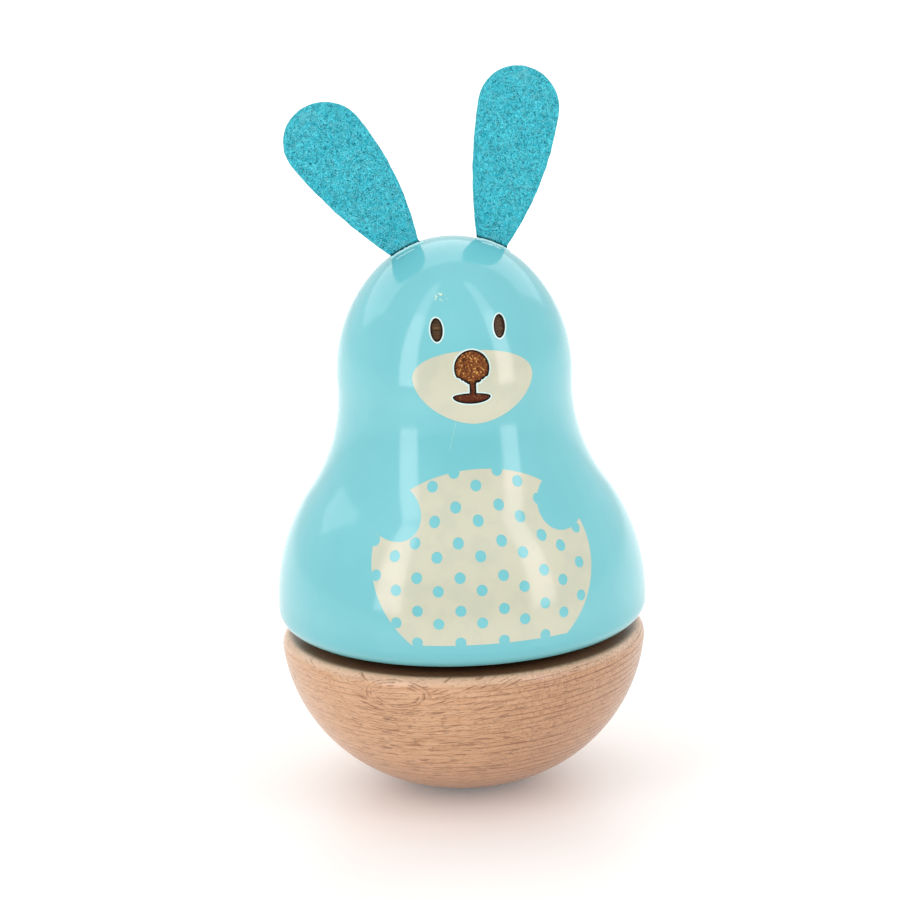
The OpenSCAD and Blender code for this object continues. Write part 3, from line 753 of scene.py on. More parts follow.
@dataclass(frozen=True)
class Beech(Finish):
    """Turned beech under a thin satin oil: growth lines, dashes and one swirl, with painted shade on the flat
    top under the figure, on the right and low down, and a painted highlight on the rim.
    """

    light: str = "e2b68e"
    mid: str = "d4a177"
    # painted shade: the right side and the lower part of the base are painted darker
    shaded: str = "b07f5c"
    # painted highlight: the rounded rim is painted lighter towards its top
    rim: str = "f2d2b6"
    ring: str = "7c4728"
    fleck: str = "85491f"
    # painted shadow: dark brown where the foot meets the floor
    sole: str = "4a2a18"
    # painted shadow: brown, then near black further in, on the flat top under the figure
    stain_and_shade: str = "76533a"
    seam_shadow: str = "15100c"
    streaks: Cloud = Cloud(detail=5, roughness=0.65, stretch=(150.0, 150.0, 1900.0), turn=GRAIN_LEAN)
    streak_step: Span = (0.3, 0.7)
    streak_relief: float = 0.5
    ticks: Cloud = Cloud(stretch=(800.0, 800.0, 3600.0), turn=GRAIN_LEAN, step=(0.58, 0.68))
    tick_weight: float = 0.35
    rays: Cloud = Cloud(detail=1, stretch=(2300.0, 2300.0, 750.0), step=(0.52, 0.68))
    ray_weight: float = 0.32
    shaded_x: Span = (-14.0 * MM, 18.0 * MM)
    low_z: Span = (18.0 * MM, 4.0 * MM)
    shaded_weight: float = 0.38
    rim_z: Span = (36.8 * MM, 38.2 * MM)
    rim_highlight_weight: float = 0.45
    flat_z: Span = (38.9 * MM, 38.2 * MM)
    sole_shade_z: Span = (2.2 * MM, 0.1 * MM)
    sole_shade_weight: float = 0.8
    seam_shade_r: Span = (43.8 * MM, 41.6 * MM)
    seam_shadow_r: Span = (39.5 * MM, 33.5 * MM)
    line_gap: float = 1.45 * MM
    line_sharpness: float = 6.5
    line_wander: Cloud = Cloud(25)
    line_wander_h: float = 1.2 * MM
    line_uneven: Cloud = Cloud(stretch=(6.0, 6.0, 320.0), turn=GRAIN_LEAN)
    line_uneven_h: float = 1.7 * MM
    line_breaks: Cloud = Cloud(stretch=(45.0, 45.0, 700.0), turn=GRAIN_LEAN, step=(0.25, 0.6))
    line_weight: Span = (0.45, 0.95)
    swirl_place: Spot = (-22.2 * MM, -38.8 * MM, 34.9 * MM)
    swirl_scale: Spot = (0.45, 0.45, 1.0)
    swirl_gap: float = 0.62 * MM
    swirl_sharpness: float = 2.0
    swirl_pull: Cloud = Cloud(140)
    swirl_pull_h: float = 0.9 * MM
    swirl_breaks: Cloud = Cloud(420, step=(0.36, 0.56))
    swirl_weight: Span = (0.12, 0.87)
    swirl_inside: Span = (1.9 * MM, 2.3 * MM)
    swirl_outside: Span = (3.4 * MM, 4.4 * MM)
    swirl_reach: float = 17.0 * MM
    swirl_dip: float = 10.0 * MM
    fleck_place: Spot = (-14.0 * MM, -39.0 * MM, 22.0 * MM)
    fleck_spread: Span = (14.0 * MM, 32.0 * MM)
    fleck_cloud: Cloud = Cloud(detail=1)
    fleck_along: Spot = (190.0, 190.0, 200.0)
    fleck_across: float = 2200.0
    fleck_least: Span = (0.60, 0.69)
    fleck_step: Span = (0.0, 0.045)
    fleck_weight: float = 0.56
    fleck_relief: float = 0.5
    relief: float = 0.15 * MM
    roughness: Span = (0.26, 0.46)
    coat: float = 0.35
    coat_roughness: float = 0.13

    def lines(self, board: NodeBoard, right: bpy.types.NodeSocket) -> bpy.types.NodeSocket:
        """Thin growth lines at even heights, bolder on the right.

        Args:
            board: Board of the material.
            right: Share of the right side.

        Returns:
            How much each point lies on a line.
        """
        wander = board.product(board.cloud(self.line_wander), self.line_wander_h)
        uneven = board.product(board.cloud(self.line_uneven), self.line_uneven_h)
        level = board.split(board.mapped(EVEN, GRAIN_LEAN))[2]
        level = board.sum("ADD", level, board.sum("ADD", wander, uneven))
        line = board.saw(level, self.line_gap, self.line_sharpness)
        return board.product(line, board.cloud(self.line_breaks), board.between(right, self.line_weight))

    def swirl(self, board: NodeBoard, apart: bpy.types.NodeSocket) -> bpy.types.NodeSocket:
        """Broken oval rings round a swirl in the grain.

        Args:
            board: Board of the material.
            apart: Oval distance from the swirl's middle.

        Returns:
            How much each point lies on a ring.
        """
        pulled = board.sum("MULTIPLY_ADD", board.cloud(self.swirl_pull), self.swirl_pull_h, apart)
        ring = board.saw(pulled, self.swirl_gap, self.swirl_sharpness)
        bold = board.between(board.fade(apart, *reversed(self.swirl_outside)), self.swirl_weight)
        inside = board.fade(apart, *self.swirl_inside)
        return board.product(ring, board.cloud(self.swirl_breaks), bold, inside)

    def flecks(self, board: NodeBoard, apart: bpy.types.NodeSocket) -> bpy.types.NodeSocket:
        """Short dark dashes that bend round the swirl.

        Args:
            board: Board of the material.
            apart: Oval distance from the swirl's middle.

        Returns:
            How much each point lies on a dash.
        """
        dip = board.product(board.fade(apart, self.swirl_reach, 0.0), self.swirl_dip)
        level = board.product(board.sum("ADD", board.split(board.here)[2], dip), self.fleck_across)
        bent = board.add("ShaderNodeCombineXYZ", {2: level}).outputs[0]
        along = board.mapped(self.fleck_along)
        vector = board.add("ShaderNodeVectorMath", {0: along, 1: bent}, operation="ADD").outputs[0]
        middle = board.length(board.mapped(EVEN, shift=self.fleck_place))
        least = board.between(board.fade(middle, *self.fleck_spread), self.fleck_least)
        over = board.sum("SUBTRACT", board.cloud(self.fleck_cloud, vector), least)
        return board.product(board.fade(over, *self.fleck_step), board.fade(apart, *self.swirl_outside))

    def made(self, board: NodeBoard) -> bpy.types.Material:
        """Wire the finish on a new board.

        Args:
            board: Board of the new material.

        Returns:
            The material.
        """
        x, _, z = board.split(board.here)
        right, top = board.fade(x, *self.shaded_x), board.fade(z, *self.rim_z)
        apart = board.length(board.mapped(self.swirl_scale, shift=self.swirl_place))
        inward = board.length(board.mapped(ACROSS))
        streaks, ticks = board.cloud(self.streaks), board.cloud(self.ticks)
        lines = board.product(self.lines(board, right), board.fade(z, *self.flat_z))
        rings, flecks = self.swirl(board, apart), self.flecks(board, apart)
        colour = board.blend(board.fade(streaks, *self.streak_step), paint(self.light), paint(self.mid))
        for code, share, weight in (
            # painted shade on the right side and low down
            (self.shaded, board.sum("MAXIMUM", right, board.fade(z, *self.low_z)), self.shaded_weight),
            # painted highlight on the rim
            (self.rim, top, self.rim_highlight_weight),
            (self.ring, ticks, self.tick_weight),
            (self.ring, board.product(board.cloud(self.rays), right), self.ray_weight),
            (self.ring, board.sum("MAXIMUM", lines, rings), 1.0),
            (self.fleck, flecks, self.fleck_weight),
            # painted shadow on the flat top, deepening under the figure
            (self.stain_and_shade, board.product(board.fade(inward, *self.seam_shade_r), top), 1.0),
            (self.seam_shadow, board.product(board.fade(inward, *self.seam_shadow_r), top), 1.0),
            # painted contact shadow at the foot
            (self.sole, board.fade(z, *self.sole_shade_z), self.sole_shade_weight),
        ):
            colour = board.tint(colour, code, share, weight)
        hollow = board.sum("MULTIPLY_ADD", board.sum("ADD", flecks, ticks), self.fleck_relief, lines)
        hollow = board.sum("MULTIPLY_ADD", streaks, self.streak_relief, hollow)
        normal = board.bump(board.sum("SUBTRACT", 1.0, hollow), self.relief)
        gloss = board.between(streaks, self.roughness)
        return board.finish({"Base Color": colour, "Roughness": gloss, "Normal": normal,
                             "Coat Weight": self.coat, "Coat Roughness": self.coat_roughness})


@dataclass(frozen=True)
class Felt(Finish):
    """Pressed felt with curly fibres, painted highlights on its edges and painted shade at the root, where it
    is glued into the head.
    """

    bright: str = "6cecf9"
    mid: str = "1fb0c8"
    dark: str = "046f85"
    # painted shade: the felt is painted dark near the crown, where it goes into the head
    root_shade: str = "03343d"
    curls: tuple[Cloud, Cloud] = (Cloud(900, detail=1, distortion=2.2), Cloud(1450, detail=1, distortion=2.6))
    curl_middle: float = 0.5
    curl_step: Span = (0.075, 0.02)
    curl_weight: float = 0.72
    ground: Cloud = Cloud(1150, roughness=0.6, distortion=1.0, step=(0.38, 0.57))
    # painted highlight: the felt is painted lighter on its convex edges
    edge_step: Span = (0.52, 0.57)
    edge_highlight_weight: float = 0.45
    crown_centre: Spot = (0.0, 0.0, 110.45 * MM)
    root_shade_r: Span = (27.1 * MM, 26.3 * MM)
    relief: float = 0.05 * MM
    roughness: float = 0.95
    specular: float = 0.03

    def made(self, board: NodeBoard) -> bpy.types.Material:
        """Wire the finish on a new board.

        Args:
            board: Board of the new material.

        Returns:
            The material.
        """
        curls = []
        for curl in self.curls:
            ridge = board.sum("ABSOLUTE", board.sum("SUBTRACT", board.cloud(curl), self.curl_middle))
            curls.append(board.fade(ridge, *self.curl_step))
        fibres, ground = board.sum("MAXIMUM", *curls), board.cloud(self.ground)
        edge = board.fade(board.add("ShaderNodeNewGeometry", {}).outputs["Pointiness"], *self.edge_step)
        root = board.length(board.mapped(EVEN, shift=self.crown_centre))
        colour = board.blend(ground, paint(self.dark), paint(self.mid))
        colour = board.tint(colour, self.bright, fibres, self.curl_weight)
        # painted highlight on the edges
        colour = board.tint(colour, self.bright, edge, self.edge_highlight_weight)
        # painted shade at the root
        colour = board.tint(colour, self.root_shade, board.fade(root, *self.root_shade_r))
        normal = board.bump(board.sum("ADD", fibres, ground), self.relief)
        return board.finish({"Base Color": colour, "Roughness": self.roughness, "Normal": normal,
                             "Specular IOR Level": self.specular})


@dataclass(frozen=True)
class Metal(Finish):
    """Drawn or machined metal with fine brush marks and a little tarnish."""

    colour: str
    tarnish: str
    roughness: float = 0.25
    brush: Spot = (300.0, 4000.0, 4000.0)
    brush_detail: float = 3.0
    unevenness: float = 0.18
    stain_and_shade: Cloud = Cloud(260, detail=4, step=(0.5, 0.75))
    stain_weight: float = 0.6
    relief: float = 0.006 * MM

    def made(self, board: NodeBoard) -> bpy.types.Material:
        """Wire the finish on a new board.

        Args:
            board: Board of the new material.

        Returns:
            The material.
        """
        marks = board.cloud(Cloud(detail=self.brush_detail, stretch=self.brush))
        colour = board.tint(paint(self.colour), self.tarnish, board.cloud(self.stain_and_shade), self.stain_weight)
        rough = board.between(marks, (self.roughness, self.roughness + self.unevenness))
        return board.finish({"Base Color": colour, "Metallic": 1.0, "Roughness": rough,
                             "Normal": board.bump(marks, self.relief)})


@dataclass(frozen=True)
class Plywood(Finish):
    """Thin plywood with its plies in the edge."""

    light: str = "dcbd92"
    dark: str = "b58d5f"
    ply: float = 1.3 * MM
    ply_step: Span = (0.52 * MM, 0.78 * MM)
    ply_weight: float = 0.3
    streaks: Cloud = Cloud(detail=5, stretch=(60.0, 900.0, 900.0))
    streak_step: Span = (0.35, 0.7)
    relief: float = 0.03 * MM
    roughness: float = 0.6

    def made(self, board: NodeBoard) -> bpy.types.Material:
        """Wire the finish on a new board.

        Args:
            board: Board of the new material.

        Returns:
            The material.
        """
        level = board.sum("PINGPONG", board.split(board.here)[2], self.ply)
        plies, streaks = board.fade(level, *self.ply_step), board.cloud(self.streaks)
        tone = board.sum("MULTIPLY_ADD", plies, self.ply_weight, board.fade(streaks, *self.streak_step))
        colour = board.blend(tone, paint(self.light), paint(self.dark))
        return board.finish({"Base Color": colour, "Roughness": self.roughness,
                             "Normal": board.bump(streaks, self.relief)})


@dataclass(frozen=True)
class Moulded(Finish):
    """Moulded nylon."""

    colour: str = "efe9d8"
    shade: str = "ded6bf"
    mottle: Cloud = Cloud(500)
    grain: Cloud = Cloud(2500)
    relief: float = 0.01 * MM
    roughness: float = 0.42
    milkiness: float = 0.1

    def made(self, board: NodeBoard) -> bpy.types.Material:
        """Wire the finish on a new board.

        Args:
            board: Board of the new material.

        Returns:
            The material.
        """
        colour = board.blend(board.cloud(self.mottle), paint(self.colour), paint(self.shade))
        normal = board.bump(board.cloud(self.grain), self.relief)
        return board.finish({"Base Color": colour, "Roughness": self.roughness, "Normal": normal,
                             "Subsurface Weight": self.milkiness})


LACQUER = Lacquer("turquoise_lacquer")
# a real bead of paint at the ear slots, painted paler as its highlight
LIP_HIGHLIGHT = Lacquer("lip_of_lacquer", colour="c9f5f8", deep="b4eef3")
# a real raised edge of paint, painted near white as a highlight
EDGE_HIGHLIGHT = Lacquer("edge_of_lacquer", colour="e0f5f1", deep="d2efea")
PRINT = Print("cream_print")
BURNT = Burnt("scorched_wood")
# charred wood at the engraving's edge, painted darker still as the shade in the recesses and ear slots
CHAR_SHADE = Burnt("charred_edge", bright="3c1f10", mid="211008", dark="110804", low="150905")
EYE = Burnt("smoked_eye", bright="785c3e", mid="533d27", dark="352517", low="352517",
            grit=Cloud(detail=3, roughness=0.6, stretch=(500.0, 500.0, 3000.0)),
            roughness=0.32, relief=0.03 * MM)
BEECH = Beech("oiled_beech")
EAR_FELT = Felt("teal_felt")
FIBRE = Felt("pale_fibre", bright="8cf0fa", mid="48d5e7", dark="28b6cc")

# Finish of each material slot of the record
SLOT_FINISHES: dict[str, Finish] = {
    "beech": BEECH,
    "plywood": Plywood("birch_plywood"),
    "lacquered_wood": LACQUER,
    "ear_felt": EAR_FELT,
    "glide_felt": Felt("grey_felt", bright="7d8486", mid="51585b", dark="363c3f"),
    "cast_weight": Metal("cast_iron", "6d6b69", "47413c", roughness=0.45, brush=(900.0, 900.0, 900.0)),
    "steel": Metal("bright_steel", "c9c9c6", "a7a39c", roughness=0.2),
    "spring_steel": Metal("blued_spring_steel", "9aa2ad", "6f7b8c", roughness=0.22),
    "brass": Metal("rolled_brass", "d9b36a", "a9803f", roughness=0.22),
    "zinc": Metal("cast_zinc", "b9bbb8", "8f918d", roughness=0.38, brush=(1200.0, 1200.0, 1200.0)),
    "lead": Metal("soft_lead", "7f8488", "5f6264", roughness=0.5, brush=(1500.0, 1500.0, 1500.0)),
    "nylon": Moulded("ivory_nylon"),
}


@dataclass
class BeechBase:
    """Turned beech base: a rounded sole with a small foot, a rounded rim and a pocket for the weight."""

    rim_z: float = 36.45 * MM
    rim_r: float = 3.0 * MM
    rim_step: float = 0.25 * MM
    sole_extra: float = 10.6 * MM
    flank_less: float = 4.75 * MM
    foot_r: float = 6.0 * MM
    fit: float = 0.05 * MM
    pocket_r: float = 27.3 * MM
    pocket_foot_r: float = 19.3 * MM
    pocket_z: float = 9.0 * MM
    pocket_slope_h: float = 7.0 * MM

    def outline(self) -> list[Vector]:
        """Outline from the foot over the rim into the pocket.

        Returns:
            Points that start and end on the axis.
        """
        low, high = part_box("base_bowl")
        disc_low, disc_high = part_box("top_disc")
        sole_r, flank_r = high.x + self.sole_extra, high.x - self.flank_less
        sole = flat(0.0, low.z + math.sqrt(sole_r**2 - self.foot_r**2))
        rim = flat(high.x - self.rim_r, low.z + self.rim_z)
        flank = circles_meet(rim, flank_r - self.rim_r, sole, sole_r - flank_r)
        sole_a, rim_a = angle_to(sole, flank), angle_to(flank, rim)
        top_a = math.degrees(math.asin((high.z - rim.z) / self.rim_r))
        slope_z = self.pocket_z + self.pocket_slope_h
        return joined(
            [flat(0.0, low.z)],
            arc(sole, sole_r, angle_to(sole, flat(self.foot_r, low.z)), sole_a),
            arc(flank, flank_r, sole_a, rim_a),
            arc(rim, self.rim_r, rim_a, top_a, step=self.rim_step),
            [flat(disc_high.x + self.fit, high.z), flat(disc_high.x + self.fit, disc_low.z)],
            [flat(self.pocket_r, disc_low.z), flat(self.pocket_r, slope_z)],
            [flat(self.pocket_foot_r, self.pocket_z), flat(0.0, self.pocket_z)],
        )

    def build(self) -> list[bpy.types.Object]:
        """Model and dress the base.

        Returns:
            Its piece.
        """
        piece = spun("beech_base", self.outline())
        smooth(piece)
        BEECH.put_on(piece)
        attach(piece, Ride.BASE.value)
        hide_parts("base_bowl")
        return [piece]


@dataclass
class TurnedFigure:
    """Turned figure: skirt, neck and head in one piece, hollow inside."""

    fillet: float = 4.7 * MM
    fillet_step: float = 0.5 * MM
    skirt_h: float = 6.0 * MM
    neck_curve_r: float = 42.0 * MM
    neck_h: float = 58.0 * MM
    head_r: float = 28.7 * MM
    head_h: float = 62.0 * MM
    crown_r: float = 26.0 * MM
    cavity_r: float = 34.8 * MM
    cavity_straight_h: float = 20.84 * MM
    cavity_top_r: float = 33.82 * MM
    cavity_top_h: float = 31.54 * MM
    fit: float = 0.05 * MM

    @property
    def level(self) -> float:
        """Height of the figure's lower face."""
        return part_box("body_shell")[0].z

    @property
    def crown(self) -> Vector:
        """Centre of the crown's curve."""
        return flat(0.0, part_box("body_shell")[1].z - self.crown_r)

    def outside(self, proud: float = 0.0) -> list[Vector]:
        """Outer outline, from the crown down to the lower face.

        Args:
            proud: How far the outline stands off the real one.

        Returns:
            Points from the axis to the end of the rounded lower edge.
        """
        low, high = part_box("body_shell")
        body_r, crown = high.x, self.crown - flat(0.0, low.z)
        side_r = self.head_r**2 + (crown.z - self.head_h) ** 2 - self.crown_r**2
        side_r /= 2 * (self.head_r - self.crown_r)
        side = flat(self.head_r - side_r, self.head_h)
        reach = math.sqrt((side_r + self.neck_curve_r) ** 2 - (self.head_h - self.neck_h) ** 2)
        neck = flat(side.x + reach, self.neck_h)
        out, rise = neck.x - body_r, self.neck_h - self.skirt_h
        skirt_r = (out**2 + rise**2 - self.neck_curve_r**2) / (2 * (self.neck_curve_r - out))
        skirt = flat(body_r - skirt_r, self.skirt_h)
        edge = flat(body_r - self.fillet, self.fillet)
        side_a, neck_a, skirt_a = angle_to(side, crown), angle_to(side, neck), angle_to(skirt, neck)
        points = joined(
            arc(crown, self.crown_r + proud, 90, side_a),
            arc(side, side_r + proud, side_a, neck_a),
            arc(neck, self.neck_curve_r - proud, neck_a + 180, skirt_a + 180),
            arc(skirt, skirt_r + proud, skirt_a, 0),
            arc(edge, self.fillet + proud, 0, -90, step=self.fillet_step),
        )
        return [p + flat(0.0, low.z) for p in points]

    def solid(self, name: str, proud: float) -> bpy.types.Object:
        """Turn the outer outline into a solid block, to cut other pieces with.

        Args:
            name: Name of the block.
            proud: How far it stands off the real surface.

        Returns:
            The block.
        """
        outline = self.outside(proud)
        return spun(name, [*outline, flat(0.0, outline[-1].z)])

    def radius_at(self, z: float) -> float:
        """Radius of the figure at a height.

        Args:
            z: The height.

        Returns:
            The radius.
        """
        outline = self.outside()
        for above, below in zip(outline, outline[1:]):
            if below.z <= z <= above.z and above.z > below.z:
                return below.x + (above.x - below.x) * (z - below.z) / (above.z - below.z)
        raise ValueError(f"the figure has no radius at {z}")

    def hollow(self) -> list[Vector]:
        """Outline of the hollow, from the lower face up to the axis.

        Returns:
            The points.
        """
        _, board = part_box("floor_board")
        rebate_r, low = board.x + self.fit, self.level
        return [
            flat(rebate_r, low), flat(rebate_r, board.z), flat(self.cavity_r, board.z),
            flat(self.cavity_r, low + self.cavity_straight_h),
            flat(self.cavity_top_r, low + self.cavity_top_h), flat(0.0, low + self.cavity_top_h),
        ]

    def build(self, face: Face, ears: Sequence[FeltEar]) -> list[bpy.types.Object]:
        """Model and dress the figure.

        Args:
            face: Face that is engraved in it.
            ears: Ears whose slots are cut in it.

        Returns:
            Its piece.
        """
        piece = spun("bunny_body", joined(self.outside(), self.hollow()))
        LACQUER.put_on(piece)
        for cutter in (*(ear.slot() for ear in ears), *face.cutters()):
            carve(piece, cutter, Cut.AWAY)
        smooth(piece)
        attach(piece, Ride.FIGURE.value)
        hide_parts("body_shell")
        return [piece]


# Depth range of the cutters for the front of the figure
FRONT_Y = -60 * MM
INNER_Y = -8 * MM


@dataclass
class Film:
    """A thin film of paint that follows the figure's surface."""

    figure: TurnedFigure
    finish: Finish = PRINT
    proud: float = 0.05 * MM
    depth: float = 0.3 * MM

    def on_figure(self, piece: bpy.types.Object) -> None:
        """Trim a prism to a film on the surface and dress it.

        Args:
            piece: Prism through the front of the figure, which becomes the film.
        """
        carve(piece, self.figure.solid("skin", self.proud), Cut.WITHIN)
        carve(piece, self.figure.solid("core", -self.depth), Cut.AWAY)
        self.finish.put_on(piece)
        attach(piece, Ride.FIGURE.value)


@dataclass
class Face:
    """Printed muzzle and engraved eyes, nose and mouth; heights count from the figure's lower face."""

    figure: TurnedFigure
    depth: float = 0.4 * MM
    rim_depth: float = 0.12 * MM
    rim_w: float = 0.36 * MM
    lip_gap: float = 0.02 * MM
    lip_w: float = 0.34 * MM
    lip_proud: float = 0.09 * MM
    eye_x: float = 7.47 * MM
    eye_h: float = 77.5 * MM
    eye_half_w: float = 1.42 * MM
    eye_half_h: float = 2.6 * MM
    eye_lean: float = -3.9
    eye_points: int = 48
    muzzle_x: float = 0.6 * MM
    muzzle_h: float = 66.1 * MM
    muzzle_half_w: float = 14.35 * MM
    muzzle_up: float = 6.65 * MM
    muzzle_down: float = 10.65 * MM
    muzzle_power: Span = (2.1, 1.8)
    muzzle_points: int = 120
    nose_h: float = 68.65 * MM
    nose_r: float = 4.2 * MM
    nose_step: float = 0.3 * MM
    nose_side_a: float = -28.0
    nose_low_h: float = 65.0 * MM
    stem_half_w: float = 0.8 * MM
    mouth_x: float = -0.3 * MM
    mouth_h: float = 61.95 * MM
    mouth_half_w: float = 4.5 * MM
    mouth_up: float = 0.9 * MM
    mouth_down: float = 1.65 * MM
    lean: float = -1.3
    crumb: float = 0.14 * MM
    crumb_step: float = 0.35 * MM
    seed: int = 5

    def at(self, x: float, height: float) -> Vector:
        """A point of the face, its height counted from the figure's lower face."""
        return flat(x, self.figure.level + height)

    def crumbly(self, start: Vector, end: Vector, dice: random.Random) -> list[Vector]:
        """Lay points along a line that the engraving tore.

        Args:
            start: One end.
            end: The other end.
            dice: Source of the unevenness.

        Returns:
            The points, both ends included.
        """
        count = max(2, round((end - start).length / self.crumb_step))
        points = [start.lerp(end, i / count) for i in range(count + 1)]
        for point in points[1:-1]:
            point += flat(dice.uniform(-1, 1), dice.uniform(-1, 1)) * self.crumb
        return points

    def nose(self, inset: float) -> bpy.types.Object:
        """Prism for nose, stem and mouth.

        Args:
            inset: How much smaller than the real outline it is.

        Returns:
            The prism.
        """
        dice = random.Random(self.seed)
        dome = arc(self.at(0.0, self.nose_h), self.nose_r - inset, self.nose_side_a, 180 - self.nose_side_a,
                   step=self.nose_step)
        half_w = self.stem_half_w - inset
        low, mouth_z = self.at(0.0, self.nose_low_h + inset).z, self.at(0.0, self.mouth_h).z
        outline = joined(
            dome,
            self.crumbly(dome[-1], flat(-half_w, low), dice),
            [flat(-half_w, mouth_z), flat(half_w, mouth_z)],
            self.crumbly(flat(half_w, low), dome[0], dice)[:-1],
        )
        piece = prism("nose_cutter", outline, FRONT_Y, INNER_Y)
        mouth = oval(self.at(self.mouth_x, self.mouth_h), self.mouth_half_w - inset, self.mouth_up - inset,
                     self.mouth_down - inset, tilt=self.lean)
        carve(piece, prism("mouth_cutter", mouth, FRONT_Y, INNER_Y), Cut.ONTO)
        return piece

    def eyes(self, inset: float) -> list[bpy.types.Object]:
        """Prisms for the eyes.

        Args:
            inset: How much smaller than the real outline they are.

        Returns:
            The prisms.
        """
        prisms = []
        for side in Side:
            middle, half_h = self.at(side.value * self.eye_x, self.eye_h), self.eye_half_h - inset
            outline = oval(middle, self.eye_half_w - inset, half_h, half_h, tilt=self.eye_lean,
                           count=self.eye_points)
            prisms.append(prism("eye_cutter", outline, FRONT_Y, INNER_Y))
        return prisms

    def sunk(self, prisms: Sequence[bpy.types.Object], depth: float, finish: Finish) -> bpy.types.Object:
        """Stop cutters at an even depth under the surface.

        Args:
            prisms: Prisms through the front of the figure.
            depth: Depth of the engraving.
            finish: Finish that the engraving shows.

        Returns:
            One cutter.
        """
        cutter = join("engraving_cutter", prisms)
        carve(cutter, self.figure.solid("core", -depth), Cut.AWAY)
        finish.put_on(cutter)
        return cutter

    def cutters(self) -> list[bpy.types.Object]:
        """Cutters for all that is engraved.

        Returns:
            A shallow one for the charred rims, painted very dark as their shade too, and the deeper insides
            of nose and eyes.
        """
        return [
            self.sunk([self.nose(0.0), *self.eyes(0.0)], self.rim_depth, CHAR_SHADE),
            self.sunk([self.nose(self.rim_w)], self.depth, BURNT),
            self.sunk(self.eyes(self.rim_w), self.depth, EYE),
        ]

    def lip(self) -> bpy.types.Object:
        """Model and dress the edge of paint that stands up round the engraving, painted near white as a
        highlight.

        Returns:
            Its piece.
        """
        piece = join("engraving_lip", [self.nose(-self.lip_w), *self.eyes(-self.lip_w)])
        carve(piece, join("lip_cutter", [self.nose(-self.lip_gap), *self.eyes(-self.lip_gap)]), Cut.AWAY)
        Film(self.figure, EDGE_HIGHLIGHT, self.lip_proud).on_figure(piece)
        smooth(piece)
        return piece

    def build(self) -> list[bpy.types.Object]:
        """Model and dress the printed muzzle and the edge of the engraving.

        Returns:
            Both pieces.
        """
        outline = oval(self.at(self.muzzle_x, self.muzzle_h), self.muzzle_half_w, self.muzzle_up,
                       self.muzzle_down, self.muzzle_power, self.lean, self.muzzle_points)
        muzzle = prism("muzzle_print", outline, FRONT_Y, INNER_Y)
        Film(self.figure).on_figure(muzzle)
        carve(muzzle, self.nose(-self.lip_w), Cut.AWAY)
        smooth(muzzle)
        return [muzzle, self.lip()]


@dataclass
class TummyPatch:
    """Printed tummy patch, bitten out for the paws and dotted; heights count from the figure's lower face."""

    figure: TurnedFigure
    centre_h: float = 22.65 * MM
    half_w: float = 26.2 * MM
    up: float = 22.3 * MM
    down: float = 23.0 * MM
    bottom_h: float = 6.35 * MM
    points: int = 160
    bite_x: float = 20.3 * MM
    bite_h: float = 35.85 * MM
    bite_r: float = 6.4 * MM
    bite_end: float = 354.0
    bite_step: float = 0.5 * MM
    dot_r: float = 1.3 * MM
    dot_sides: int = 20
    dot_pitch: float = 10.25 * MM
    row_pitch: float = 7.45 * MM
    between_drop: float = 4.5 * MM
    between_shift: float = 5.2 * MM
    first_dot: Span = (-0.6 * MM, 41.35 * MM)
    dot_lean: float = 0.05
    rows_above: int = 1
    rows: int = 5
    columns: int = 3

    def dots(self) -> bpy.types.Object:
        """Cutter for all the dots.

        Returns:
            Short rods that point at the axis.
        """
        rods = []
        for row in range(-self.rows_above, self.rows):
            for column in range(-self.columns, self.columns + 1):
                for shift, drop in ((0.0, 0.0), (self.between_shift, self.between_drop)):
                    down = row * self.row_pitch + drop
                    along = self.first_dot[0] + column * self.dot_pitch + shift - self.dot_lean * down
                    rods.append(self.rod(along, self.figure.level + self.first_dot[1] - down))
        return join("dot_cutter", rods)

    def rod(self, along: float, z: float) -> bpy.types.Object:
        """One dot's cutter.

        Args:
            along: Distance round the figure from its front.
            z: Height.

        Returns:
            The rod.
        """
        radius = self.figure.radius_at(z)
        bpy.ops.object.select_all(action="DESELECT")
        bpy.ops.mesh.primitive_cylinder_add(vertices=self.dot_sides, radius=self.dot_r, depth=radius)
        rod = bpy.context.active_object
        turn = Matrix.Rotation(along / radius, 4, "Z") @ Matrix.Rotation(math.radians(90), 4, "X")
        put_in_place(Matrix.Translation((0, 0, z)) @ turn @ Matrix.Translation((0, 0, radius)), rod)
        return rod

    def build(self) -> list[bpy.types.Object]:
        """Model and dress the patch.

        Returns:
            Its piece.
        """
        level = self.figure.level
        outline = oval(flat(0.0, level + self.centre_h), self.half_w, self.up, self.down, count=self.points)
        outline = [p for p in outline if p.z > level + self.bottom_h]
        patch = prism("tummy_print", outline, FRONT_Y, INNER_Y)
        for side in Side:
            middle = flat(side.value * self.bite_x, level + self.bite_h)
            bite = arc(middle, self.bite_r, 0, self.bite_end, self.bite_step)
            carve(patch, prism("bite_cutter", bite, 2 * FRONT_Y, 0.0), Cut.AWAY)
        carve(patch, self.dots(), Cut.AWAY)
        Film(self.figure).on_figure(patch)
        smooth(patch)
        return [patch]


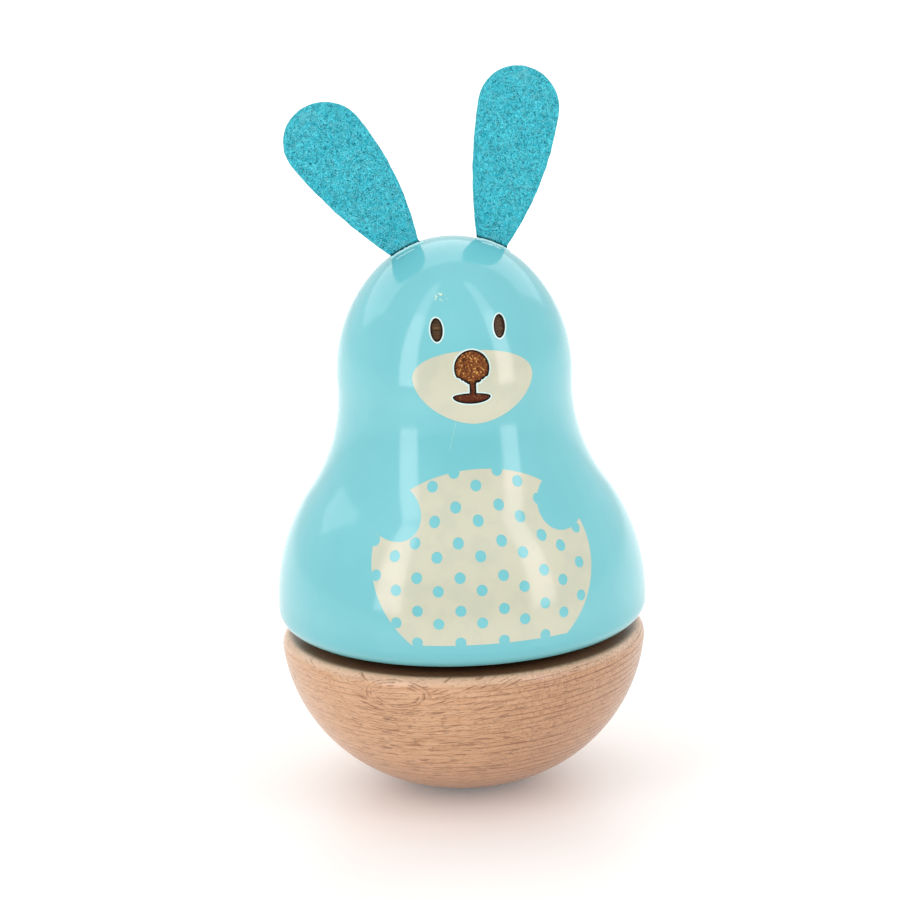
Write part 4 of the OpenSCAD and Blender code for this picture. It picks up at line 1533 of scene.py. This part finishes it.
@dataclass
class FeltEar:
    """One felt ear, glued into a slot in the head, with its curly fibres and the lip of paint at the slot."""

    side: Side
    lean: float
    length: float
    figure: TurnedFigure
    seed: int
    tip_r: float = 9.85 * MM
    bow: float = 0.65 * MM
    root_w: float = 7.3 * MM
    side_r: float = 88.0 * MM
    thickness: float = 3.0 * MM
    sunk: float = 8.0 * MM
    root_x: float = 10.6 * MM
    root_y: float = 1.8 * MM
    edge_r: float = 0.7 * MM
    edge_steps: int = 3
    voxel: float = 0.4 * MM
    lump_size: float = 2.2 * MM
    lump_h: float = 0.25 * MM
    slot_gap: float = 0.12 * MM
    lip_r: float = 0.4 * MM
    lip_reach: Span = (-1.15, 1.1)
    wrinkle_r: float = 0.16 * MM
    wrinkle_reach: Span = (-0.9, 0.4)
    wrinkle_ahead: float = 3.2 * MM
    bead_drift: Span = (-0.24 * MM, 0.1 * MM)
    bead_lift: float = 0.08 * MM
    bead_steps: int = 18
    bead_fineness: int = 3
    fibre_r: float = 0.075 * MM
    fibre_step: float = 0.26 * MM
    fibre_steps: int = 7
    fibre_bend: Span = (0.4, 1.0)
    fibre_wobble: float = 0.4
    fibre_lift: float = 0.25
    fibre_margin: float = 1.3 * MM
    fibre_kinds: int = 8
    fibres: int = 700
    sharp_angle: float = 60.0

    @property
    def name(self) -> str:
        """Name of the ear."""
        return f"{self.side.name.lower()}_ear"

    def place(self) -> Matrix:
        """Where the ear's own frame stands.

        Returns:
            The frame: X across the ear, Y through the felt and Z along it.
        """
        rise = math.sqrt(self.figure.crown_r**2 - self.root_x**2 - self.root_y**2)
        root = (self.side.value * self.root_x, self.root_y, self.figure.crown.z + rise)
        return Matrix.Translation(root) @ Matrix.Rotation(math.radians(self.side.value * self.lean), 4, "Y")

    def half_outline(self) -> list[Vector]:
        """Right half of the cut felt above the root, from the root to the tip.

        Returns:
            The points.
        """
        root, tip = flat(self.root_w / 2, 0.0), flat(0.0, self.length - self.tip_r)
        centre = circles_meet(root, self.side_r, tip, self.side_r - self.tip_r)
        meet = angle_to(centre, tip)
        return joined(arc(centre, self.side_r, angle_to(centre, root), meet), arc(tip, self.tip_r, meet, 90))

    def outline(self) -> list[Vector]:
        """Outline of the cut felt, in the ear's own frame.

        Returns:
            The closed outline.
        """
        right = self.half_outline()
        left = [flat(-p.x, p.z) for p in reversed(right)]
        foot = [flat(-self.root_w / 2, -self.sunk), flat(self.root_w / 2, -self.sunk)]
        return joined(self.bowed(p) for p in (*right, *left, *foot))

    def bowed(self, point: Vector) -> Vector:
        """Move a point of a straight ear to where it lies on the bowed one."""
        share = min(max(point.z / self.length, 0.0), 1.0)
        return point + flat(4 * self.bow * share * (1 - share), 0.0)

    def slot(self) -> bpy.types.Object:
        """Cutter for the slot in the head.

        Returns:
            The cutter.
        """
        half_w, half_t = self.root_w / 2 + self.slot_gap, self.thickness / 2 + self.slot_gap
        corners = [flat(x, z) for x, z in ((-half_w, -self.sunk), (half_w, -self.sunk),
                                           (half_w, self.sunk), (-half_w, self.sunk))]
        cutter = prism("slot_cutter", corners, -half_t, half_t)
        put_in_place(self.place(), cutter)
        # the slot's walls get the very dark finish, as painted shade in the slot
        CHAR_SHADE.put_on(cutter)
        return cutter

    def felt(self) -> bpy.types.Object:
        """Model the cut felt.

        Returns:
            The ear without its fibres, in its own frame.
        """
        half_t = self.thickness / 2
        piece = prism(f"felt_{self.name}", self.outline(), -half_t, half_t)
        apply_modifier(piece, "BEVEL", width=self.edge_r, segments=self.edge_steps, limit_method="ANGLE")
        apply_modifier(piece, "REMESH", mode="VOXEL", voxel_size=self.voxel)
        lumps = bpy.data.textures.new(f"{self.name}_lumps", "CLOUDS")
        lumps.noise_scale = self.lump_size
        apply_modifier(piece, "DISPLACE", texture=lumps, strength=self.lump_h)
        return piece

    def curl(self, dice: random.Random) -> bpy.types.Object:
        """One curly fibre, about the origin.

        Args:
            dice: Source of its shape.

        Returns:
            The fibre.
        """
        points, heading = [Vector((0.0, 0.0, 0.0))], dice.uniform(0, math.tau)
        bend = dice.uniform(*self.fibre_bend) * dice.choice((-1, 1))
        for _ in range(self.fibre_steps):
            heading += bend + dice.uniform(-self.fibre_wobble, self.fibre_wobble)
            lift = Vector((0.0, dice.uniform(-self.fibre_lift, self.fibre_lift), 0.0))
            points.append(points[-1] + (flat(math.cos(heading), math.sin(heading)) + lift) * self.fibre_step)
        return tube("curl", points, self.fibre_r)

    def fluff(self) -> bpy.types.Object:
        """Scatter curly fibres over both faces.

        Returns:
            All the fibres as one piece, in the ear's own frame.
        """
        dice = random.Random(self.seed)
        kinds = [self.curl(dice) for _ in range(self.fibre_kinds)]
        half, half_t, pieces = self.half_outline(), self.thickness / 2, []
        for i in range(self.fibres):
            twin, spot = copy_of(kinds[i % len(kinds)]), dice.choice(half)
            across = max(spot.x - self.fibre_margin, 0.0) * dice.uniform(-1.0, 1.0)
            out = half_t * dice.choice((-1, 1))
            spot = Vector((across, out, max(spot.z - self.fibre_margin, self.fibre_margin)))
            turn = Matrix.Rotation(dice.uniform(0, math.tau), 4, "Y")
            twin.matrix_world = Matrix.Translation(self.bowed(spot)) @ turn
            pieces.append(twin)
        for kind in kinds:
            bpy.data.objects.remove(kind)
        put_in_place(Matrix.Identity(4), *pieces)
        return join(f"{self.name}_fluff", pieces)

    def bead(self, ahead: float, reach: Span, radius: float) -> bpy.types.Object:
        """Uneven bead of paint on the crown, along the front of the slot.

        Args:
            ahead: How far it lies in front of the slot.
            reach: Where it starts and ends, in half widths of the slot.
            radius: Its radius.

        Returns:
            The bead, in the ear's own frame.
        """
        dice = random.Random(self.seed + 1)
        crown = self.place().inverted() @ self.figure.crown
        half_w, points = self.root_w / 2 + self.slot_gap, []
        for i in range(self.bead_steps + 1):
            u = half_w * (reach[0] + (reach[1] - reach[0]) * i / self.bead_steps)
            depth = -self.thickness / 2 - self.slot_gap - ahead + dice.uniform(*self.bead_drift)
            v = crown.z + math.sqrt(self.figure.crown_r**2 - (u - crown.x) ** 2 - (depth - crown.y) ** 2)
            points.append(Vector((u, depth, v + dice.uniform(-self.bead_lift, self.bead_lift))))
        return tube("bead", points, radius, self.bead_fineness)

    def lip(self) -> bpy.types.Object:
        """Lip of paint at the slot, with a wrinkle in front of it.

        Returns:
            The lip, in the ear's own frame.
        """
        wrinkle = self.bead(self.wrinkle_ahead, self.wrinkle_reach, self.wrinkle_r)
        lip = self.bead(self.lip_r / 2, self.lip_reach, self.lip_r)
        return join(f"{self.name}_lip", [lip, wrinkle])

    def build(self) -> list[bpy.types.Object]:
        """Model and dress the ear.

        Returns:
            Felt, fibres and lip.
        """
        felt, fluff, _ = pieces = [self.felt(), self.fluff(), self.lip()]
        looks = ((EAR_FELT, "ear_felt"), (FIBRE, "ear_felt"), (LIP_HIGHLIGHT, "lacquered_wood"))
        for piece, (finish, slot) in zip(pieces, looks):
            put_in_place(self.place(), piece)
            smooth(piece, self.sharp_angle)
            finish.put_on(piece)
            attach(piece, Ride.FIGURE.value)
        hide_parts(self.name)
        return pieces


@dataclass
class Movement:
    """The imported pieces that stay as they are, each dressed by its material slot."""

    record: dict
    nodes: dict[str, bpy.types.Object]

    def dress(self) -> list[bpy.types.Object]:
        """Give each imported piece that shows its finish.

        Returns:
            The dressed pieces.
        """
        slots = {row["node"]: row["material_slot"] for row in self.record["subparts"]}
        shown = [piece for piece in self.nodes.values() if not piece.hide_render]
        for piece in shown:
            SLOT_FINISHES[slots[piece.name]].put_on(piece)
        return shown


def hang_lamp(name: str, place: Vector, aim: Vector, size: Span, brightness: float, colour: Spot) -> None:
    """Hang a soft rectangular lamp that the camera does not see.

    Args:
        name: Name of the lamp.
        place: Where it hangs.
        aim: Which way it faces.
        size: Its width and height.
        brightness: How bright its face is.
        colour: Colour of its light.
    """
    bpy.ops.object.light_add(type="AREA", location=place)
    lamp = bpy.context.active_object
    lamp.name = name
    lamp.rotation_euler = aim.to_track_quat("-Z", "Y").to_euler()
    lamp.data.shape = "RECTANGLE"
    lamp.data.size, lamp.data.size_y = size
    lamp.data.color = colour
    lamp.data.energy = brightness * math.pi * math.prod(size)
    lamp.visible_camera = False


@dataclass
class Softbox:
    """A soft studio lamp that stands round the object."""

    name: str
    azimuth: float
    width: float
    low: float
    high: float
    brightness: float
    distance: float = 0.5
    colour: Spot = (1.0, 0.90, 0.905)

    def hang(self) -> None:
        """Put the lamp in place, facing the axis."""
        a = math.radians(self.azimuth)
        out = Vector((math.sin(a), -math.cos(a), 0.0))
        height = self.high - self.low
        place = out * self.distance + Vector((0, 0, self.low + height / 2))
        hang_lamp(self.name, place, -out, (self.width, height), self.brightness, self.colour)


@dataclass
class Studio:
    """White sweep, soft light and the camera at the photograph's angle."""

    azimuth: float = -8.3
    elevation: float = 14.0
    roll: float = 2.04
    distance: float = 0.8
    aim_z: float = 83.584 * MM
    frame_px: float = 900.0
    aim_px: Span = (457.15, 450.1)
    lens: float = 130.95
    sensor: float = 36.0
    clip: Span = (0.01, 100.0)
    floor_size: float = 40.0
    floor_colours: tuple[str, str] = ("f4f3f1", "f8f7f6")
    floor_mottle: Cloud = Cloud(3)
    floor_roughness: float = 0.3
    floor_specular: float = 0.35
    glow: Span = (0.14, 0.36)
    glow_reach: Span = (0.06, 0.30)
    room_light: float = 0.70
    gloss_light: Span = (0.3, 0.88)
    gloss_reach: Span = (-0.85, -0.3)
    gloss_rise: float = 0.6
    top_place: Spot = (0.0, 0.75, 0.95)
    top_aim: Spot = (0.0, -0.7, -0.9)
    top_size: Span = (3.6, 1.0)
    top_brightness: float = 0.9
    top_colour: Spot = (1.0, 1.0, 1.0)
    boxes: list[Softbox] = field(default_factory=lambda: [
        Softbox("left_strip", azimuth=-53.0, width=0.15, low=0.06, high=0.62, brightness=3.1),
        Softbox("left_strip_top", azimuth=-53.0, width=0.15, low=0.62, high=1.9, brightness=1.6),
        Softbox("right_strip", azimuth=41.0, width=0.14, low=0.06, high=0.62, brightness=3.0),
        Softbox("right_strip_top", azimuth=41.0, width=0.14, low=0.62, high=1.9, brightness=1.6),
    ])

    def build(self) -> None:
        """Set up the floor, the light and the camera."""
        self.lay_floor()
        self.light_room()
        for box in self.boxes:
            box.hang()
        hang_lamp("top_softbox", Vector(self.top_place), Vector(self.top_aim), self.top_size,
                  self.top_brightness, self.top_colour)
        self.set_camera()
        bpy.context.scene.view_settings.view_transform = "Standard"

    def lay_floor(self) -> None:
        """Lay the pale floor, which looks white to the camera and keeps the shadow."""
        bpy.ops.object.select_all(action="DESELECT")
        bpy.ops.mesh.primitive_plane_add(size=self.floor_size, location=(0, 0, 0))
        floor = bpy.context.active_object
        floor.name = "studio_floor"
        board = NodeBoard("white_floor")
        colour = board.blend(board.cloud(self.floor_mottle), *(paint(code) for code in self.floor_colours))
        glow = board.between(board.fade(board.length(board.here), *self.glow_reach), self.glow)
        path = board.add("ShaderNodeLightPath", {}).outputs
        mirrored = board.sum("MAXIMUM", path["Is Glossy Ray"], path["Is Transmission Ray"])
        seen = board.sum("MAXIMUM", path["Is Camera Ray"], mirrored)
        material = board.finish({
            "Base Color": colour, "Roughness": self.floor_roughness,
            "Specular IOR Level": self.floor_specular,
            "Emission Color": WHITE, "Emission Strength": board.product(seen, glow)})
        floor.data.materials.append(material)

    def light_room(self) -> None:
        """Light the room: white to the camera, even for soft light, and dimmer in front in reflections."""
        world = bpy.data.worlds.new("studio_room")
        world.use_nodes = True
        bpy.context.scene.world = world
        board = Wiring(world.node_tree)
        path = board.add("ShaderNodeLightPath", {}).outputs
        _, y, z = board.split(board.add("ShaderNodeTexCoord", {}).outputs["Generated"])
        behind = board.fade(board.sum("MULTIPLY_ADD", z, self.gloss_rise, y), *self.gloss_reach)
        glossy = path["Is Glossy Ray"]
        soft = board.product(board.sum("SUBTRACT", 1.0, glossy), self.room_light)
        inside = board.sum("MULTIPLY_ADD", glossy, board.between(behind, self.gloss_light), soft)
        clear = board.sum("MAXIMUM", path["Is Camera Ray"], path["Is Transmission Ray"])
        strength = board.sum("MULTIPLY_ADD", board.sum("SUBTRACT", 1.0, clear), inside, clear)
        light = world.node_tree.nodes["Background"]
        board.put(light.inputs["Color"], WHITE)
        board.put(light.inputs["Strength"], strength)

    def set_camera(self) -> None:
        """Place the camera as the photograph was taken."""
        a, e, roll = (math.radians(v) for v in (self.azimuth, self.elevation, self.roll))
        back = Vector((math.sin(a) * math.cos(e), -math.cos(a) * math.cos(e), math.sin(e)))
        level = (-back).cross(Vector((0, 0, 1))).normalized()
        upright = level.cross(-back)
        right = level * math.cos(roll) - upright * math.sin(roll)
        up = upright * math.cos(roll) + level * math.sin(roll)
        per_px = self.distance * self.sensor / (self.lens * self.frame_px)
        across, down = (p - self.frame_px / 2 for p in self.aim_px)
        place = Vector((0, 0, self.aim_z)) + back * self.distance + (up * down - right * across) * per_px
        bpy.ops.object.camera_add()
        camera = bpy.context.active_object
        camera.name = "photo_camera"
        camera.matrix_world = Matrix.Translation(place) @ Matrix((right, up, back)).transposed().to_4x4()
        camera.data.lens, camera.data.sensor_width = self.lens, self.sensor
        camera.data.clip_start, camera.data.clip_end = self.clip
        bpy.context.scene.camera = camera


def clear_start_file() -> None:
    """Delete what a new file holds."""
    for one in list(bpy.data.objects):
        bpy.data.objects.remove(one)


def main() -> None:
    """Build the object, dress it and set up the studio."""
    logging.basicConfig(level=logging.INFO, format="%(name)s %(relativeCreated)d: %(message)s")
    clear_start_file()
    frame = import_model()
    bpy.ops.object.select_all(action="DESELECT")

    figure = TurnedFigure()
    face = Face(figure)
    ears = [
        FeltEar(Side.LEFT, lean=35.3, length=42.1 * MM, figure=figure, seed=7),
        FeltEar(Side.RIGHT, lean=12.1, length=43.2 * MM, figure=figure, seed=11),
    ]
    pieces = BeechBase().build()
    pieces += figure.build(face, ears)
    pieces += face.build()
    pieces += TummyPatch(figure).build()
    for ear in ears:
        pieces += ear.build()
    pieces += Movement(frame["record"], frame["nodes"]).dress()
    for piece in pieces:
        LOG.info("%s: %d faces, %s", piece.name, len(piece.data.polygons), piece.data.materials[0].name)
    Studio().build()


if __name__ == "__main__":
    main()
